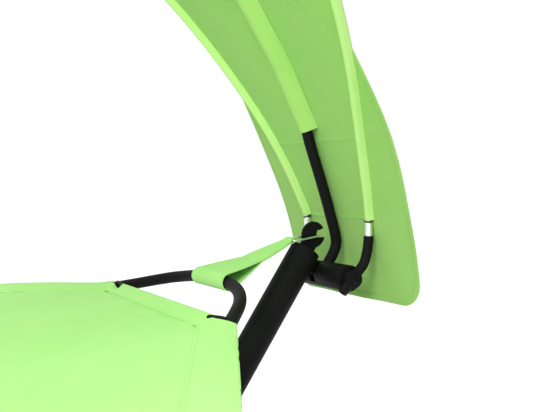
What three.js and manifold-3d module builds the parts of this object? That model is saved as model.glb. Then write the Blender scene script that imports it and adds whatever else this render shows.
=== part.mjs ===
// Sun lounger with canopy: a bed hung from a hook at each end of a tube stand
// Millimetres, +Z up, +X towards the head, the symmetry plane at Y = 0

import * as THREE from 'three';
import { mergeVertices } from 'three/addons/utils/BufferGeometryUtils.js';
import Module from 'manifold-3d';

const wasm = await Module();
wasm.setup();

// Clearances
const GAP = 0.3;
const OVERRUN = 5;
const MERGE_WITHIN = 1e-4;

// Hooks, the two points that the bed hangs from
const HOOK_X = 1100;
const HEAD_HOOK_Z = 900;
const FOOT_HOOK_Z = 669;
const HOOK_DISC_R = 26;
const HOOK_DISC_X = -8;
const HOOK_DISC_Z = 3;
const HOOK_PLATE_T = 6;
const HOOK_SEAT_R = 2.9;
const HOOK_STEM_W = 34;
const HOOK_STEM_DEPTH = 40;
const HOOK_SLOT_TOP = 11;
const HOOK_MOUTH_X = 9;
const HOOK_MOUTH_Z = 12.6;
const HOOK_FLARE = THREE.MathUtils.degToRad(28);

// Stand tubes
const POST_R = 30;
const POST_WALL = 2;
const POST_LEAN = THREE.MathUtils.degToRad(34);
const POST_LINE_X = -75.6;
const POST_LINE_Z = -100.5;
const POST_TOP_DROP = 86.5;
const POST_BEND_R = 180;
const POST_STUB = 107;
const BEND_STEPS = 7;
const POST_CAP_T = 3;
const JOINT_SLEEVE_L = 120;
const JOINT_SLEEVE_WALL = 2;
const JOINT_SCREW_OFFSET = 32;
const FOOT_TUBE_R = 25;
const FOOT_TUBE_WALL = 2;
const FOOT_TUBE_L = 1200;
const FOOT_TUBE_LIFT = 14;
const FOOT_STUB_SHARE = 0.3;
const SADDLE_WEB = 6;
const SADDLE_SIZE = 66;
const SADDLE_WRAP_SHARE = 0.45;

// End caps of the cross feet
const CAP_WALL = 3;
const CAP_DEPTH = 45;
const CAP_PAD_W = 40;

// Fasteners
const BOLT_R = 5;
const BOLT_HEAD_R = 9;
const BOLT_HEAD_H = 6;
const NUT_R = 9;
const NUT_H = 8;
const SCREW_R = 4;
const SCREW_HEAD_R = 7.5;
const SCREW_HEAD_H = 4;
const WASHER_R = 13;
const WASHER_T = 2;

// Canopy pivot, measured from the head hook
const PIVOT_X = 14;
const PIVOT_Z = -76;
const PIVOT_HEAD_H = 3;
const PIVOT_NUT_H = 4;
const PIVOT_WASHER_T = 1;
const HUB_R = 25.5;
const HUB_HALF = 95;
const HUB_WALL = 4;
const HUB_WEB = 5;
const HUB_END_WALL = 8;
const LUG_T = 12;
const LUG_EYE_R = 13;
const LUG_FOOT_HALF = 18;
const LUG_NECK_GAP = 1.5;
const TILT_FORWARD = THREE.MathUtils.degToRad(5);
const TILT_BACK = THREE.MathUtils.degToRad(37);

// Canopy arms
const ARM_R = 9.5;
const ARM_L = 125;
const ARM_TIP = 34;
const ARM_LEAN = THREE.MathUtils.degToRad(44);
const ARM_BOSS_R = 14;
const CENTRE_ARM_R = 11;
const CENTRE_ARM_WALL = 2;
const RIB_R = 5;
const RIB_SPIGOT_L = 24;
const FERRULE_R = 7.5;
const FERRULE_L = 27;
const COLLAR_R = 8.3;
const COLLAR_L = 3;
const COLLAR_GAP = 0.8;

// Canopy sheet, an arc in side view that starts at the rib's foot
const RIB_FOOT_X = 46;
const RIB_FOOT_Z = 38;
const RIB_MERGE = 45;
const RIB_LEAN = THREE.MathUtils.degToRad(16.6);
const RIB_ARC_R = 1390;
const CANOPY_L = 1110;
const CANOPY_FLAP_L = 168;
const CANOPY_T = 2.4;
const CANOPY_HEM = 1.5;
const CANOPY_LIFT = 7;
const RIB_SLEEVE_WALL = 1.8;
const POCKET_WALL = 2;
const POCKET_HALF = 23;
const POCKET_START = 185;
const CANOPY_FRONT_MARGIN = 25;
const CENTRE_RIB_DROP = 5.8;
const FLAP_HALF = 214;
const FLAP_BULGE = 18;
const FLAP_CORNER_R = 52;
const FRONT_CORNER_R = 70;
const CANOPY_HALF = 442;

// Bed frame and fabric
const BED_TUBE_R = 11;
const BED_TUBE_WALL = 2;
const BED_EDGE_IN = 325;
const BED_EDGE_DROP = 105;
const BED_TUBE_LIFT = -8;
const BED_BOW_HALF = 402;
const BED_SHOULDER_HALF = 640;
const BED_HEM = 32;
const BED_FOOT_SCALE = 0.76;
const BED_T = 3;
const BED_SLEEVE_WALL = 2.6;
const BED_SAG = 12;
const PLUG_SHARE = 0.9;
const FRAME_GAP = 1.8;
const HEM_MOUTH = 4;
const BED_LOW_Z = 456;

// Rods in the hems at the bed's ends, bare where the hem is cut back beside the bow
const SPREADER_R = 5;
const SPREADER_IN = 6;
const SPREADER_LIFT = 1.5;
const SPREADER_WALL = 1.4;
const SPREADER_HEM_HALF = 203;
const SPREADER_HALF = 258;
const HEM_NOTCH_TO = 300;
const HEM_NOTCH_DEPTH = 14;

// Strap and ring at each hook
const RING_WIRE_R = 2;
const RING_L = 60.5;
const RING_DROP = 5.5;
const RING_ROLL = 0.12;
const RING_APEX_HALF = 6.2;
const RING_BASE_HALF = 15;
const STRAP_T = 2;
const STRAP_GAP = 0.8;
const STRAP_SLACK = 2.7;
const STRAP_PULL = 1.4;
const STRAP_RING_HALF = 11;
const STRAP_BOW_HALF = 67;
const STRAP_PART_SHARE = 0.51;
const STRAP_CROWN = 0.4;

// Sides and steps of round shapes
const BIG_SIDES = 16;
const TUBE_SIDES = 10;
const ROD_SIDES = 8;
const RING_STEPS = 40;
const RING_SIDES = 5;
const BORE_SIDES_SHARE = 0.8;
const HEX_SIDES = 6;
const FINE_STEP = 10;
const COARSE_STEP = 84;
const RIB_FINE_TO = 184;
const CENTRE_FINE_TO = 165;
const CENTRE_STEP = 14;
const BOW_STEP = 33;
const RAIL_STEP = 145;
const ARC_POINTS = 14;
const CANOPY_ROWS = 14;
const CANOPY_COLUMNS = 4;
const POCKET_STEPS = 13;
const RAIL_POINTS = 10;
const BED_ROWS = 9;
const BED_COLUMNS = 6;
const STRAP_TURN_STEPS = 8;
const HALVINGS = 40;

const PAINT = { color: 0x2c2c2c, roughness: 0.45, metalness: 0.3 };
const STEEL = { color: 0xc9cbc8, roughness: 0.25, metalness: 1 };
const PLASTIC = { color: 0x242424, roughness: 0.6, metalness: 0 };
const BED_FABRIC = { color: 0xbff890, roughness: 0.9, metalness: 0 };
const CANOPY_FABRIC = { color: 0xa0dc6c, roughness: 0.9, metalness: 0 };

const root = new THREE.Group();
const stand = new THREE.Group();
const canopy = new THREE.Group();
const bed = new THREE.Group();
root.add(stand, canopy, bed);

const add = (group, name, geometry, look) => {
  const mesh = new THREE.Mesh(geometry, new THREE.MeshStandardMaterial(look));
  mesh.name = name;
  group.add(mesh);
  return mesh;
};

// Solids for joining and cutting
function solid(geometry) {
  const bare = geometry.clone();
  bare.deleteAttribute('normal');
  bare.deleteAttribute('uv');
  const merged = mergeVertices(bare, MERGE_WITHIN);
  return new wasm.Manifold(new wasm.Mesh({
    numProp: 3,
    vertProperties: new Float32Array(merged.attributes.position.array),
    triVerts: new Uint32Array(merged.index.array),
  }));
}

function toGeometry(body) {
  const mesh = body.getMesh();
  const geometry = new THREE.BufferGeometry();
  geometry.setAttribute('position', new THREE.BufferAttribute(mesh.vertProperties, mesh.numProp));
  geometry.setIndex(new THREE.BufferAttribute(mesh.triVerts, 1));
  return geometry;
}

function build(base, joins, cuts) {
  let body = solid(base);
  for (const join of joins) {
    body = body.add(solid(join));
  }
  for (const cut of cuts) {
    body = body.subtract(solid(cut));
  }
  return toGeometry(body);
}

// A bore is widened so that its flats, not its corners, lie at the radius
const bore = (radius, sides) => radius / Math.cos(Math.PI / sides);

const circle = (radius, sides) => {
  const points = [];
  for (let i = 0; i < sides; i += 1) {
    const angle = (2 * Math.PI * i) / sides;
    points.push(new THREE.Vector2(radius * Math.cos(angle), radius * Math.sin(angle)));
  }
  return points;
};

function ringShape(outer, inner, sides) {
  const shape = new THREE.Shape(circle(outer, sides));
  if (inner > 0) {
    const boreSides = Math.max(ROD_SIDES, Math.round(sides * BORE_SIDES_SHARE));
    shape.holes.push(new THREE.Path(circle(bore(inner, boreSides), boreSides)));
  }
  return shape;
}

const along = (path, steps, outer, inner, sides) => new THREE.ExtrudeGeometry(
  ringShape(outer, inner, sides),
  { extrudePath: path, steps, bevelEnabled: false },
);

const straight = (from, to, outer, inner, sides) => along(
  new THREE.LineCurve3(from, to), 1, outer, inner, sides,
);

const point = (x, y, z) => new THREE.Vector3(x, y, z);

const evenSteps = (from, to, count) => Array.from(
  { length: count + 1 },
  (unused, i) => from + ((to - from) * i) / count,
);

// A cylinder across the part, from one Y to another
const crossRod = (x, z, y0, y1, radius, sides) => straight(
  point(x, y0, z), point(x, y1, z), radius, 0, sides,
);

const uprightRod = (x, y, z0, z1, radius, sides) => straight(
  point(x, y, z0), point(x, y, z1), radius, 0, sides,
);

// A curve that steps through given points, with a mitred tangent at each
function polylineCurve(points) {
  const last = points.length - 1;
  const curve = new THREE.Curve();
  curve.getPoint = (t) => points[Math.round(t * last)].clone();
  curve.getPointAt = curve.getPoint;
  curve.getTangentAt = (t) => {
    const i = Math.round(t * last);
    const before = points[Math.max(i - 1, 0)];
    const after = points[Math.min(i + 1, last)];
    const into = points[i].clone().sub(before).normalize();
    const out = after.clone().sub(points[i]).normalize();
    return into.add(out).normalize();
  };
  return curve;
}

const tubeThrough = (points, outer, inner, sides) => along(
  polylineCurve(points), points.length - 1, outer, inner, sides,
);

// A plate in the XZ plane, centred on Y = 0
function plate(shape, thickness) {
  const geometry = new THREE.ExtrudeGeometry(shape, {
    depth: thickness, bevelEnabled: false, curveSegments: TUBE_SIDES,
  });
  geometry.rotateX(Math.PI / 2);
  geometry.translate(0, thickness / 2, 0);
  return geometry;
}

// Stand

const FOOT_TUBE_Z = FOOT_TUBE_LIFT + FOOT_TUBE_R;
const SPINE_Z = FOOT_TUBE_Z + FOOT_TUBE_R + SADDLE_WEB + POST_R;
const POST_BORE_R = POST_R - POST_WALL;
const POST_DIR = point(Math.sin(POST_LEAN), 0, Math.cos(POST_LEAN));

// The head end is built as drawn, and the foot end is its mirror image at its own height
const ends = [
  { name: 'head', way: 1, hookZ: HEAD_HOOK_Z },
  { name: 'foot', way: -1, hookZ: FOOT_HOOK_Z },
];

for (const end of ends) {
  const lineX = HOOK_X + POST_LINE_X;
  const lineZ = end.hookZ + POST_LINE_Z;
  const cornerX = lineX - (lineZ - SPINE_Z) * Math.tan(POST_LEAN);
  end.elevation = Math.PI / 2 - POST_LEAN;
  end.tangent = POST_BEND_R * Math.tan(end.elevation / 2);
  end.cornerX = cornerX;
  end.bendX = cornerX - end.tangent;
  end.jointX = end.bendX - POST_STUB;
  end.footX = end.bendX - POST_STUB * FOOT_STUB_SHARE;
  end.top = point(lineX, 0, lineZ).addScaledVector(POST_DIR, POST_TOP_DROP);
}

const mirrored = (geometry, way) => {
  if (way > 0) {
    return geometry;
  }
  const turned = geometry.clone();
  turned.rotateZ(Math.PI);
  return turned;
};

function postPoints(end) {
  const points = [point(end.jointX, 0, SPINE_Z)];
  for (const angle of evenSteps(0, end.elevation, BEND_STEPS)) {
    points.push(point(
      end.bendX + POST_BEND_R * Math.sin(angle),
      0,
      SPINE_Z + POST_BEND_R * (1 - Math.cos(angle)),
    ));
  }
  points.push(end.top);
  return points;
}

// A screw through the post's side wall, its head on the right, and the hole for it
const SCREW_TIP = -POST_BORE_R + JOINT_SLEEVE_WALL + SCREW_R;
const screwGeometry = (x) => build(
  crossRod(x, SPINE_Z, -POST_R - GAP, SCREW_TIP, SCREW_R, ROD_SIDES),
  [crossRod(x, SPINE_Z, -POST_R - GAP - SCREW_HEAD_H, -POST_R - GAP, SCREW_HEAD_R, TUBE_SIDES)],
  [],
);

const screwHole = (x) => crossRod(x, SPINE_Z, -POST_R - OVERRUN, 0, SCREW_R + GAP, ROD_SIDES);

function addStandEnd(end) {
  const { name, way } = end;
  const place = (geometry) => mirrored(geometry, way);
  const sleeveHalf = JOINT_SLEEVE_L / 2;
  const screwXs = [end.jointX - JOINT_SCREW_OFFSET, end.jointX + JOINT_SCREW_OFFSET];
  const saddleBore = uprightRod(
    end.footX, 0, 0, SPINE_Z + POST_R + OVERRUN, BOLT_R + GAP, ROD_SIDES,
  );
  const post = build(
    tubeThrough(postPoints(end), POST_R, POST_BORE_R, BIG_SIDES),
    [],
    [screwHole(screwXs[1]), saddleBore],
  );
  add(stand, `${name}_post`, place(post), PAINT);

  const sleeve = build(
    straight(
      point(end.jointX - sleeveHalf, 0, SPINE_Z),
      point(end.jointX + sleeveHalf, 0, SPINE_Z),
      POST_BORE_R - GAP,
      POST_BORE_R - GAP - JOINT_SLEEVE_WALL,
      BIG_SIDES,
    ),
    [],
    screwXs.map(screwHole),
  );
  add(stand, `${name}_joint_sleeve`, place(sleeve), STEEL);
  screwXs.forEach((x, i) => {
    add(stand, `${name}_joint_screw_${i + 1}`, place(screwGeometry(x)), STEEL);
  });

  const tubeHalf = FOOT_TUBE_L / 2;
  const footTube = build(
    straight(
      point(end.footX, -tubeHalf, FOOT_TUBE_Z),
      point(end.footX, tubeHalf, FOOT_TUBE_Z),
      FOOT_TUBE_R,
      FOOT_TUBE_R - FOOT_TUBE_WALL,
      BIG_SIDES,
    ),
    [],
    [saddleBore],
  );
  add(stand, `${name}_cross_foot`, place(footTube), PAINT);

  addSaddle(end, place, saddleBore);
  addEndCaps(end, place);
  addHook(end, place);
}

function addSaddle(end, place, saddleBore) {
  const low = FOOT_TUBE_Z + FOOT_TUBE_R * SADDLE_WRAP_SHARE;
  const high = SPINE_Z - POST_R * SADDLE_WRAP_SHARE;
  const block = new THREE.BoxGeometry(SADDLE_SIZE, SADDLE_SIZE, high - low);
  block.translate(end.footX, 0, (low + high) / 2);
  const half = SADDLE_SIZE / 2 + OVERRUN;
  const spineCut = straight(
    point(end.footX - half, 0, SPINE_Z),
    point(end.footX + half, 0, SPINE_Z),
    bore(POST_R + GAP, BIG_SIDES),
    0,
    BIG_SIDES,
  );
  const tubeCut = crossRod(
    end.footX, FOOT_TUBE_Z, -half, half, bore(FOOT_TUBE_R + GAP, BIG_SIDES), BIG_SIDES,
  );
  const saddle = build(block, [], [spineCut, tubeCut, saddleBore]);
  add(stand, `${end.name}_saddle`, place(saddle), PAINT);

  const headLow = SPINE_Z + POST_R + GAP;
  const boltEnd = FOOT_TUBE_LIFT - NUT_H - GAP;
  const bolt = build(
    uprightRod(end.footX, 0, boltEnd, headLow, BOLT_R, ROD_SIDES),
    [uprightRod(end.footX, 0, headLow, headLow + BOLT_HEAD_H, BOLT_HEAD_R, HEX_SIDES)],
    [],
  );
  add(stand, `${end.name}_saddle_bolt`, place(bolt), STEEL);
  const nutHigh = FOOT_TUBE_LIFT - GAP;
  const nut = straight(
    point(end.footX, 0, nutHigh - NUT_H),
    point(end.footX, 0, nutHigh),
    NUT_R,
    0,
    HEX_SIDES,
  );
  const nutBore = uprightRod(end.footX, 0, 0, SPINE_Z, bore(BOLT_R + GAP, ROD_SIDES), ROD_SIDES);
  add(stand, `${end.name}_saddle_nut`, place(build(nut, [], [nutBore])), STEEL);
}

function addEndCaps(end, place) {
  const tubeHalf = FOOT_TUBE_L / 2;
  const capR = FOOT_TUBE_R + GAP + CAP_WALL;
  for (const sign of [-1, 1]) {
    const side = sign * end.way < 0 ? 'right' : 'left';
    const inner = sign * (tubeHalf - CAP_DEPTH);
    const outer = sign * (tubeHalf + GAP + CAP_WALL);
    const pad = new THREE.BoxGeometry(CAP_PAD_W, Math.abs(outer - inner), FOOT_TUBE_Z);
    pad.translate(end.footX, (inner + outer) / 2, FOOT_TUBE_Z / 2);
    const cut = crossRod(
      end.footX,
      FOOT_TUBE_Z,
      inner - sign * OVERRUN,
      sign * (tubeHalf + GAP),
      bore(FOOT_TUBE_R + GAP, BIG_SIDES),
      BIG_SIDES,
    );
    const cap = build(
      crossRod(end.footX, FOOT_TUBE_Z, inner, outer, capR, BIG_SIDES),
      [pad],
      [cut],
    );
    add(stand, `${end.name}_${side}_end_cap`, place(cap), PLASTIC);
  }
}

// Hook plate and the disc that closes the post round the plate's stem
function hookShape(end) {
  const hookX = HOOK_X + HOOK_DISC_X;
  const hookZ = end.hookZ + HOOK_DISC_Z;
  const shape = new THREE.Shape();
  shape.absarc(hookX, hookZ, HOOK_DISC_R, 0, 2 * Math.PI, false);
  return shape;
}

function stemBox(end, width, thickness, depth) {
  const length = depth + HOOK_DISC_R;
  const box = new THREE.BoxGeometry(width, thickness, length);
  box.translate(0, 0, length / 2 - depth);
  box.rotateY(POST_LEAN);
  box.translate(end.top.x, 0, end.top.z);
  return box;
}

// The slot has a round seat for the wire at its low corner, and its mouth flares upwards
function slotShape(end) {
  const seatX = HOOK_X - RING_WIRE_R - GAP + HOOK_SEAT_R;
  const farX = HOOK_X + 2 * HOOK_DISC_R;
  const farZ = HOOK_MOUTH_Z + (farX - HOOK_X - HOOK_MOUTH_X) * Math.tan(HOOK_FLARE);
  const shape = new THREE.Shape();
  shape.absarc(seatX, end.hookZ, HOOK_SEAT_R, -Math.PI / 2, -Math.PI, true);
  shape.lineTo(HOOK_X - GAP, end.hookZ + HOOK_SLOT_TOP);
  shape.lineTo(HOOK_X + HOOK_MOUTH_X, end.hookZ + HOOK_MOUTH_Z);
  shape.lineTo(farX, end.hookZ + farZ);
  shape.lineTo(farX, end.hookZ - HOOK_SEAT_R);
  shape.closePath();
  return shape;
}

function addHook(end, place) {
  const hook = build(
    plate(hookShape(end), HOOK_PLATE_T),
    [stemBox(end, HOOK_STEM_W, HOOK_PLATE_T, HOOK_STEM_DEPTH)],
    [plate(slotShape(end), HOOK_PLATE_T + OVERRUN)],
  );
  add(stand, `${end.name}_hook_plate`, place(hook), PAINT);

  const capLow = end.top.clone().addScaledVector(POST_DIR, GAP);
  const capHigh = capLow.clone().addScaledVector(POST_DIR, POST_CAP_T);
  const stem = stemBox(end, HOOK_STEM_W + 2 * GAP, HOOK_PLATE_T + 2 * GAP, HOOK_STEM_DEPTH);
  const cap = build(straight(capLow, capHigh, POST_R, 0, BIG_SIDES), [], [stem]);
  add(stand, `${end.name}_post_cap`, place(cap), PAINT);
}

ends.forEach(addStandEnd);

function addSpine() {
  const [head, foot] = ends;
  const from = point(-foot.jointX + GAP, 0, SPINE_Z);
  const to = point(head.jointX - GAP, 0, SPINE_Z);
  const holes = ends.map((end) => (
    mirrored(screwHole(end.jointX - JOINT_SCREW_OFFSET), end.way)
  ));
  const spine = build(straight(from, to, POST_R, POST_BORE_R, BIG_SIDES), [], holes);
  add(stand, 'base_spine', spine, PAINT);
}

addSpine();

// Canopy pivot

const pivot = point(HOOK_X + PIVOT_X, 0, HEAD_HOOK_Z + PIVOT_Z);
const LUG_HALF = LUG_T / 2;
const SLOT_HALF = LUG_HALF + WASHER_T + 2 * GAP;
const ARM_Y = HUB_HALF + GAP + ARM_R;

const boltBore = crossRod(
  pivot.x, pivot.z, -HUB_HALF * 2, HUB_HALF * 2, bore(BOLT_R + GAP, TUBE_SIDES), TUBE_SIDES,
);

// The lug runs from the post's back to an eye round the pivot bolt
function addLug() {
  const normal = point(Math.cos(POST_LEAN), 0, -Math.sin(POST_LEAN));
  const lineStart = point(HOOK_X + POST_LINE_X, 0, HEAD_HOOK_Z + POST_LINE_Z);
  const offset = pivot.clone().sub(lineStart);
  const foot = lineStart.clone().addScaledVector(POST_DIR, offset.dot(POST_DIR));
  const neck = offset.dot(normal) - HUB_R - LUG_NECK_GAP;
  const corner = (out, reach) => foot.clone()
    .addScaledVector(normal, out)
    .addScaledVector(POST_DIR, reach);
  const outline = [
    corner(neck, LUG_EYE_R),
    corner(POST_R - POST_WALL, LUG_FOOT_HALF),
    corner(POST_R - POST_WALL, -LUG_FOOT_HALF),
    corner(neck, -LUG_EYE_R),
  ];
  const shape = new THREE.Shape();
  const eyeStart = Math.atan2(POST_DIR.z, POST_DIR.x);
  shape.absarc(pivot.x, pivot.z, LUG_EYE_R, eyeStart - Math.PI, eyeStart, false);
  outline.forEach(({ x, z }) => shape.lineTo(x, z));
  shape.closePath();
  const postCut = straight(
    lineStart.clone().addScaledVector(POST_DIR, -POST_STUB),
    lineStart.clone().addScaledVector(POST_DIR, POST_STUB + POST_TOP_DROP),
    bore(POST_R + GAP, BIG_SIDES),
    0,
    BIG_SIDES,
  );
  add(stand, 'canopy_lug', build(plate(shape, LUG_T), [], [postCut, boltBore]), PAINT);
}

const pivotWasher = (from, to, radius) => build(
  crossRod(pivot.x, pivot.z, from, to, radius, TUBE_SIDES),
  [],
  [boltBore],
);

addLug();
for (const [side, sign] of [['right', -1], ['left', 1]]) {
  const near = sign * (LUG_HALF + GAP);
  const far = sign * (LUG_HALF + GAP + WASHER_T);
  add(stand, `${side}_friction_washer`, pivotWasher(near, far, LUG_EYE_R), PLASTIC);
}

// The room that the lug needs in the hub, from one limit of the tilt to the other
function lugRoom() {
  const half = LUG_EYE_R + 2 * GAP;
  const reach = 2 * HUB_R;
  const toPost = Math.PI - POST_LEAN;
  const at = (angle, out, across) => [
    pivot.x + out * Math.cos(angle) - across * Math.sin(angle),
    pivot.z + out * Math.sin(angle) + across * Math.cos(angle),
  ];
  const first = toPost - TILT_FORWARD;
  const last = toPost + TILT_BACK;
  const shape = new THREE.Shape();
  shape.moveTo(pivot.x, pivot.z);
  shape.lineTo(...at(first, 0, -half));
  shape.lineTo(...at(first, reach, -half));
  shape.lineTo(...at(last, reach, half));
  shape.lineTo(...at(last, 0, half));
  shape.closePath();
  return plate(shape, 2 * SLOT_HALF);
}

// The hub is a tube with end walls, a slot for the lug and a socket for the centre arm
function addHub() {
  const hollow = HUB_R - HUB_WALL;
  const hollows = [-1, 1].map((sign) => crossRod(
    pivot.x,
    pivot.z,
    sign * (SLOT_HALF + HUB_WEB),
    sign * (HUB_HALF - HUB_END_WALL),
    hollow,
    BIG_SIDES,
  ));
  const eyeRoom = crossRod(
    pivot.x, pivot.z, -SLOT_HALF, SLOT_HALF, bore(LUG_EYE_R + 2 * GAP, BIG_SIDES), BIG_SIDES,
  );
  const socket = straight(
    pivot.clone(),
    pivot.clone().addScaledVector(POST_DIR, HUB_R + OVERRUN),
    bore(CENTRE_ARM_R + GAP, TUBE_SIDES),
    0,
    TUBE_SIDES,
  );
  const hub = build(
    crossRod(pivot.x, pivot.z, -HUB_HALF, HUB_HALF, HUB_R, BIG_SIDES),
    [],
    [...hollows, lugRoom(), eyeRoom, socket, boltBore],
  );
  add(canopy, 'canopy_hub', hub, PAINT);
}

addHub();

// The bolt runs through both side arms, the hub and the lug
function addPivotBolt() {
  const bossFace = ARM_Y + ARM_R;
  const washerNear = bossFace + GAP;
  const washerFar = washerNear + PIVOT_WASHER_T;
  add(canopy, 'right_pivot_washer', pivotWasher(-washerNear, -washerFar, WASHER_R), PAINT);
  add(canopy, 'left_pivot_washer', pivotWasher(washerNear, washerFar, WASHER_R), PAINT);
  const headNear = washerFar + GAP;
  const bolt = build(
    crossRod(pivot.x, pivot.z, -headNear, headNear + PIVOT_NUT_H, BOLT_R, TUBE_SIDES),
    [crossRod(pivot.x, pivot.z, -headNear - PIVOT_HEAD_H, -headNear, BOLT_HEAD_R, TUBE_SIDES)],
    [],
  );
  add(canopy, 'pivot_bolt', bolt, PAINT);
  const nut = build(
    crossRod(pivot.x, pivot.z, headNear, headNear + PIVOT_NUT_H - GAP, NUT_R, HEX_SIDES),
    [],
    [boltBore],
  );
  add(canopy, 'pivot_nut', nut, PAINT);
}

addPivotBolt();

// Canopy lines

// A point of the side-view arc, at a distance along it and a height off it
function arcPoint(s, y, lift) {
  const angle = RIB_LEAN + s / RIB_ARC_R;
  const reach = RIB_ARC_R + lift;
  return point(
    HOOK_X + RIB_FOOT_X + reach * Math.cos(angle) - RIB_ARC_R * Math.cos(RIB_LEAN),
    y,
    HEAD_HOOK_Z + RIB_FOOT_Z + reach * Math.sin(angle) - RIB_ARC_R * Math.sin(RIB_LEAN),
  );
}

// A smooth curve through a table of pairs, as a function of the first value
function smooth(pairs) {
  const inputs = pairs.map((pair) => pair[0]);
  const outputs = pairs.map((pair) => pair[1]);
  const curve = new THREE.CubicInterpolant(inputs, outputs, 1, [0]);
  return (value) => curve.evaluate(value)[0];
}

// Half the spread of the side ribs, in shares of the canopy's length and half width
const RIB_SPREAD_SHARES = [
  [0, 0.25], [0.146, 0.353], [0.287, 0.489], [0.42, 0.611], [0.63, 0.793], [0.81, 0.94], [1, 1.08],
];
const ribHalf = smooth(RIB_SPREAD_SHARES.map(([up, half]) => [
  up * CANOPY_L, half * CANOPY_HALF,
]));
const RIB_EDGE = RIB_R + GAP + RIB_SLEEVE_WALL + CANOPY_HEM;

// Half the width of the loose lower flap, from its corner up to where it meets the ribs
const FLAP_TOP_SHARE = 0.287;
const flapTop = FLAP_TOP_SHARE * CANOPY_L;
const flapWidth = smooth([
  [FLAP_CORNER_R - CANOPY_FLAP_L, FLAP_HALF],
  [0, FLAP_HALF + FLAP_BULGE / 4],
  [flapTop / 2, FLAP_HALF + FLAP_BULGE],
  [flapTop, ribHalf(flapTop) + RIB_EDGE],
]);

// A rounded corner takes this much off the half width near a sheet's end
const cornerLoss = (toEnd, radius) => (
  toEnd >= radius ? 0 : radius - Math.sqrt(radius ** 2 - (radius - toEnd) ** 2)
);

function canopyHalf(s) {
  const half = s < flapTop ? flapWidth(Math.max(s, FLAP_CORNER_R - CANOPY_FLAP_L))
    : ribHalf(s) + RIB_EDGE;
  return half - cornerLoss(s + CANOPY_FLAP_L, FLAP_CORNER_R)
    - cornerLoss(CANOPY_L - s, FRONT_CORNER_R);
}

// Points of a curve at given distances along it
const atLengths = (curve, lengths) => {
  const total = curve.getLength();
  return lengths.map((length) => curve.getPointAt(Math.min(length / total, 1)));
};

// Distances from one to another, fine up to a bound and coarse past it
function lengthSteps(from, to, fineTo, fine, coarse) {
  const lengths = [from];
  let next = from < fineTo ? Math.ceil((from + GAP) / fine) * fine : 0;
  while (next < Math.min(fineTo, to)) {
    if (next > from) {
      lengths.push(next);
    }
    next += fine;
  }
  next = fineTo;
  while (next < to) {
    if (next > from) {
      lengths.push(next);
    }
    next += coarse;
  }
  lengths.push(to);
  return lengths;
}

// The line of a side arm and the rib above it: straight through the pivot, then up to the arc
const ARM_ROOT_SHARES = [-1, 0, 0.75];
const ARM_LINE_SHARES = [
  [0.78, 0.25], [1, 0.46], [1.06, 0.62], [1.065, 0.73], [1.05, 0.86], [1.015, 0.97],
];
const armRise = RIB_FOOT_Z - PIVOT_Z;
const armReach = RIB_FOOT_X - PIVOT_X;

function sideLine(sign) {
  const lean = point(Math.sin(ARM_LEAN), 0, Math.cos(ARM_LEAN));
  const points = ARM_ROOT_SHARES.map((share) => (
    pivot.clone().addScaledVector(lean, share * ARM_TIP).setY(sign * ARM_Y)
  ));
  for (const [out, up] of ARM_LINE_SHARES) {
    const y = THREE.MathUtils.lerp(ARM_Y, ribHalf(0), up);
    points.push(point(pivot.x + out * armReach, sign * y, pivot.z + up * armRise));
  }
  for (const s of evenSteps(RIB_MERGE, CANOPY_L - CANOPY_FRONT_MARGIN, ARC_POINTS)) {
    points.push(arcPoint(s, sign * ribHalf(s), 0));
  }
  return new THREE.CatmullRomCurve3(points);
}

const sideLines = { right: sideLine(-1), left: sideLine(1) };
const sideTube = (side, from, to, outer, inner, sides) => tubeThrough(
  atLengths(sideLines[side], lengthSteps(from, to, RIB_FINE_TO, FINE_STEP, COARSE_STEP)),
  outer,
  inner,
  sides,
);

const ferruleStart = ARM_L + GAP;
const collarStart = ferruleStart + FERRULE_L + COLLAR_GAP;
const sleeveStart = collarStart + COLLAR_L + COLLAR_GAP;
const ribEnd = Math.min(sideLines.right.getLength(), sideLines.left.getLength());

function addSide(side, sign) {
  const boss = crossRod(
    pivot.x, pivot.z, sign * (HUB_HALF + GAP), sign * (ARM_Y + ARM_R), ARM_BOSS_R, BIG_SIDES,
  );
  const arm = build(
    sideTube(side, 0, ARM_L, ARM_R, RIB_R + GAP, TUBE_SIDES),
    [boss],
    [boltBore],
  );
  add(canopy, `${side}_side_arm`, arm, PAINT);
  const ferrule = sideTube(
    side, ferruleStart, ferruleStart + FERRULE_L, FERRULE_R, RIB_R + GAP, TUBE_SIDES,
  );
  add(canopy, `${side}_ferrule`, ferrule, STEEL);
  const collar = sideTube(
    side, collarStart, collarStart + COLLAR_L, COLLAR_R, RIB_R + GAP, TUBE_SIDES,
  );
  add(canopy, `${side}_collar`, collar, PLASTIC);
  const rib = sideTube(side, ARM_L - RIB_SPIGOT_L, ribEnd - GAP, RIB_R, 0, ROD_SIDES);
  add(canopy, `${side}_rib`, rib, STEEL);
}

addSide('right', -1);
addSide('left', 1);

// The centre arm leaves the hub along the post's lean, then follows the canopy's arc
const CENTRE_ROOT_SHARES = [0.67, 1, 1.35];
const CENTRE_LINE_SHARES = [
  [0.88, 0.38], [1.03, 0.51], [0.98, 0.67], [0.59, 1.03],
  [0.41, 1.2], [-0.16, 1.67], [-0.95, 2.29],
];

function centreLine() {
  const points = CENTRE_ROOT_SHARES.map((share) => (
    pivot.clone().addScaledVector(POST_DIR, share * HUB_R)
  ));
  points.push(...CENTRE_LINE_SHARES.map(([out, up]) => point(
    pivot.x + out * armReach, 0, pivot.z + up * armRise,
  )));
  for (const s of evenSteps(POCKET_START, CANOPY_L - CANOPY_FRONT_MARGIN, ARC_POINTS)) {
    points.push(arcPoint(s, 0, -CENTRE_RIB_DROP));
  }
  return new THREE.CatmullRomCurve3(points);
}

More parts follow.
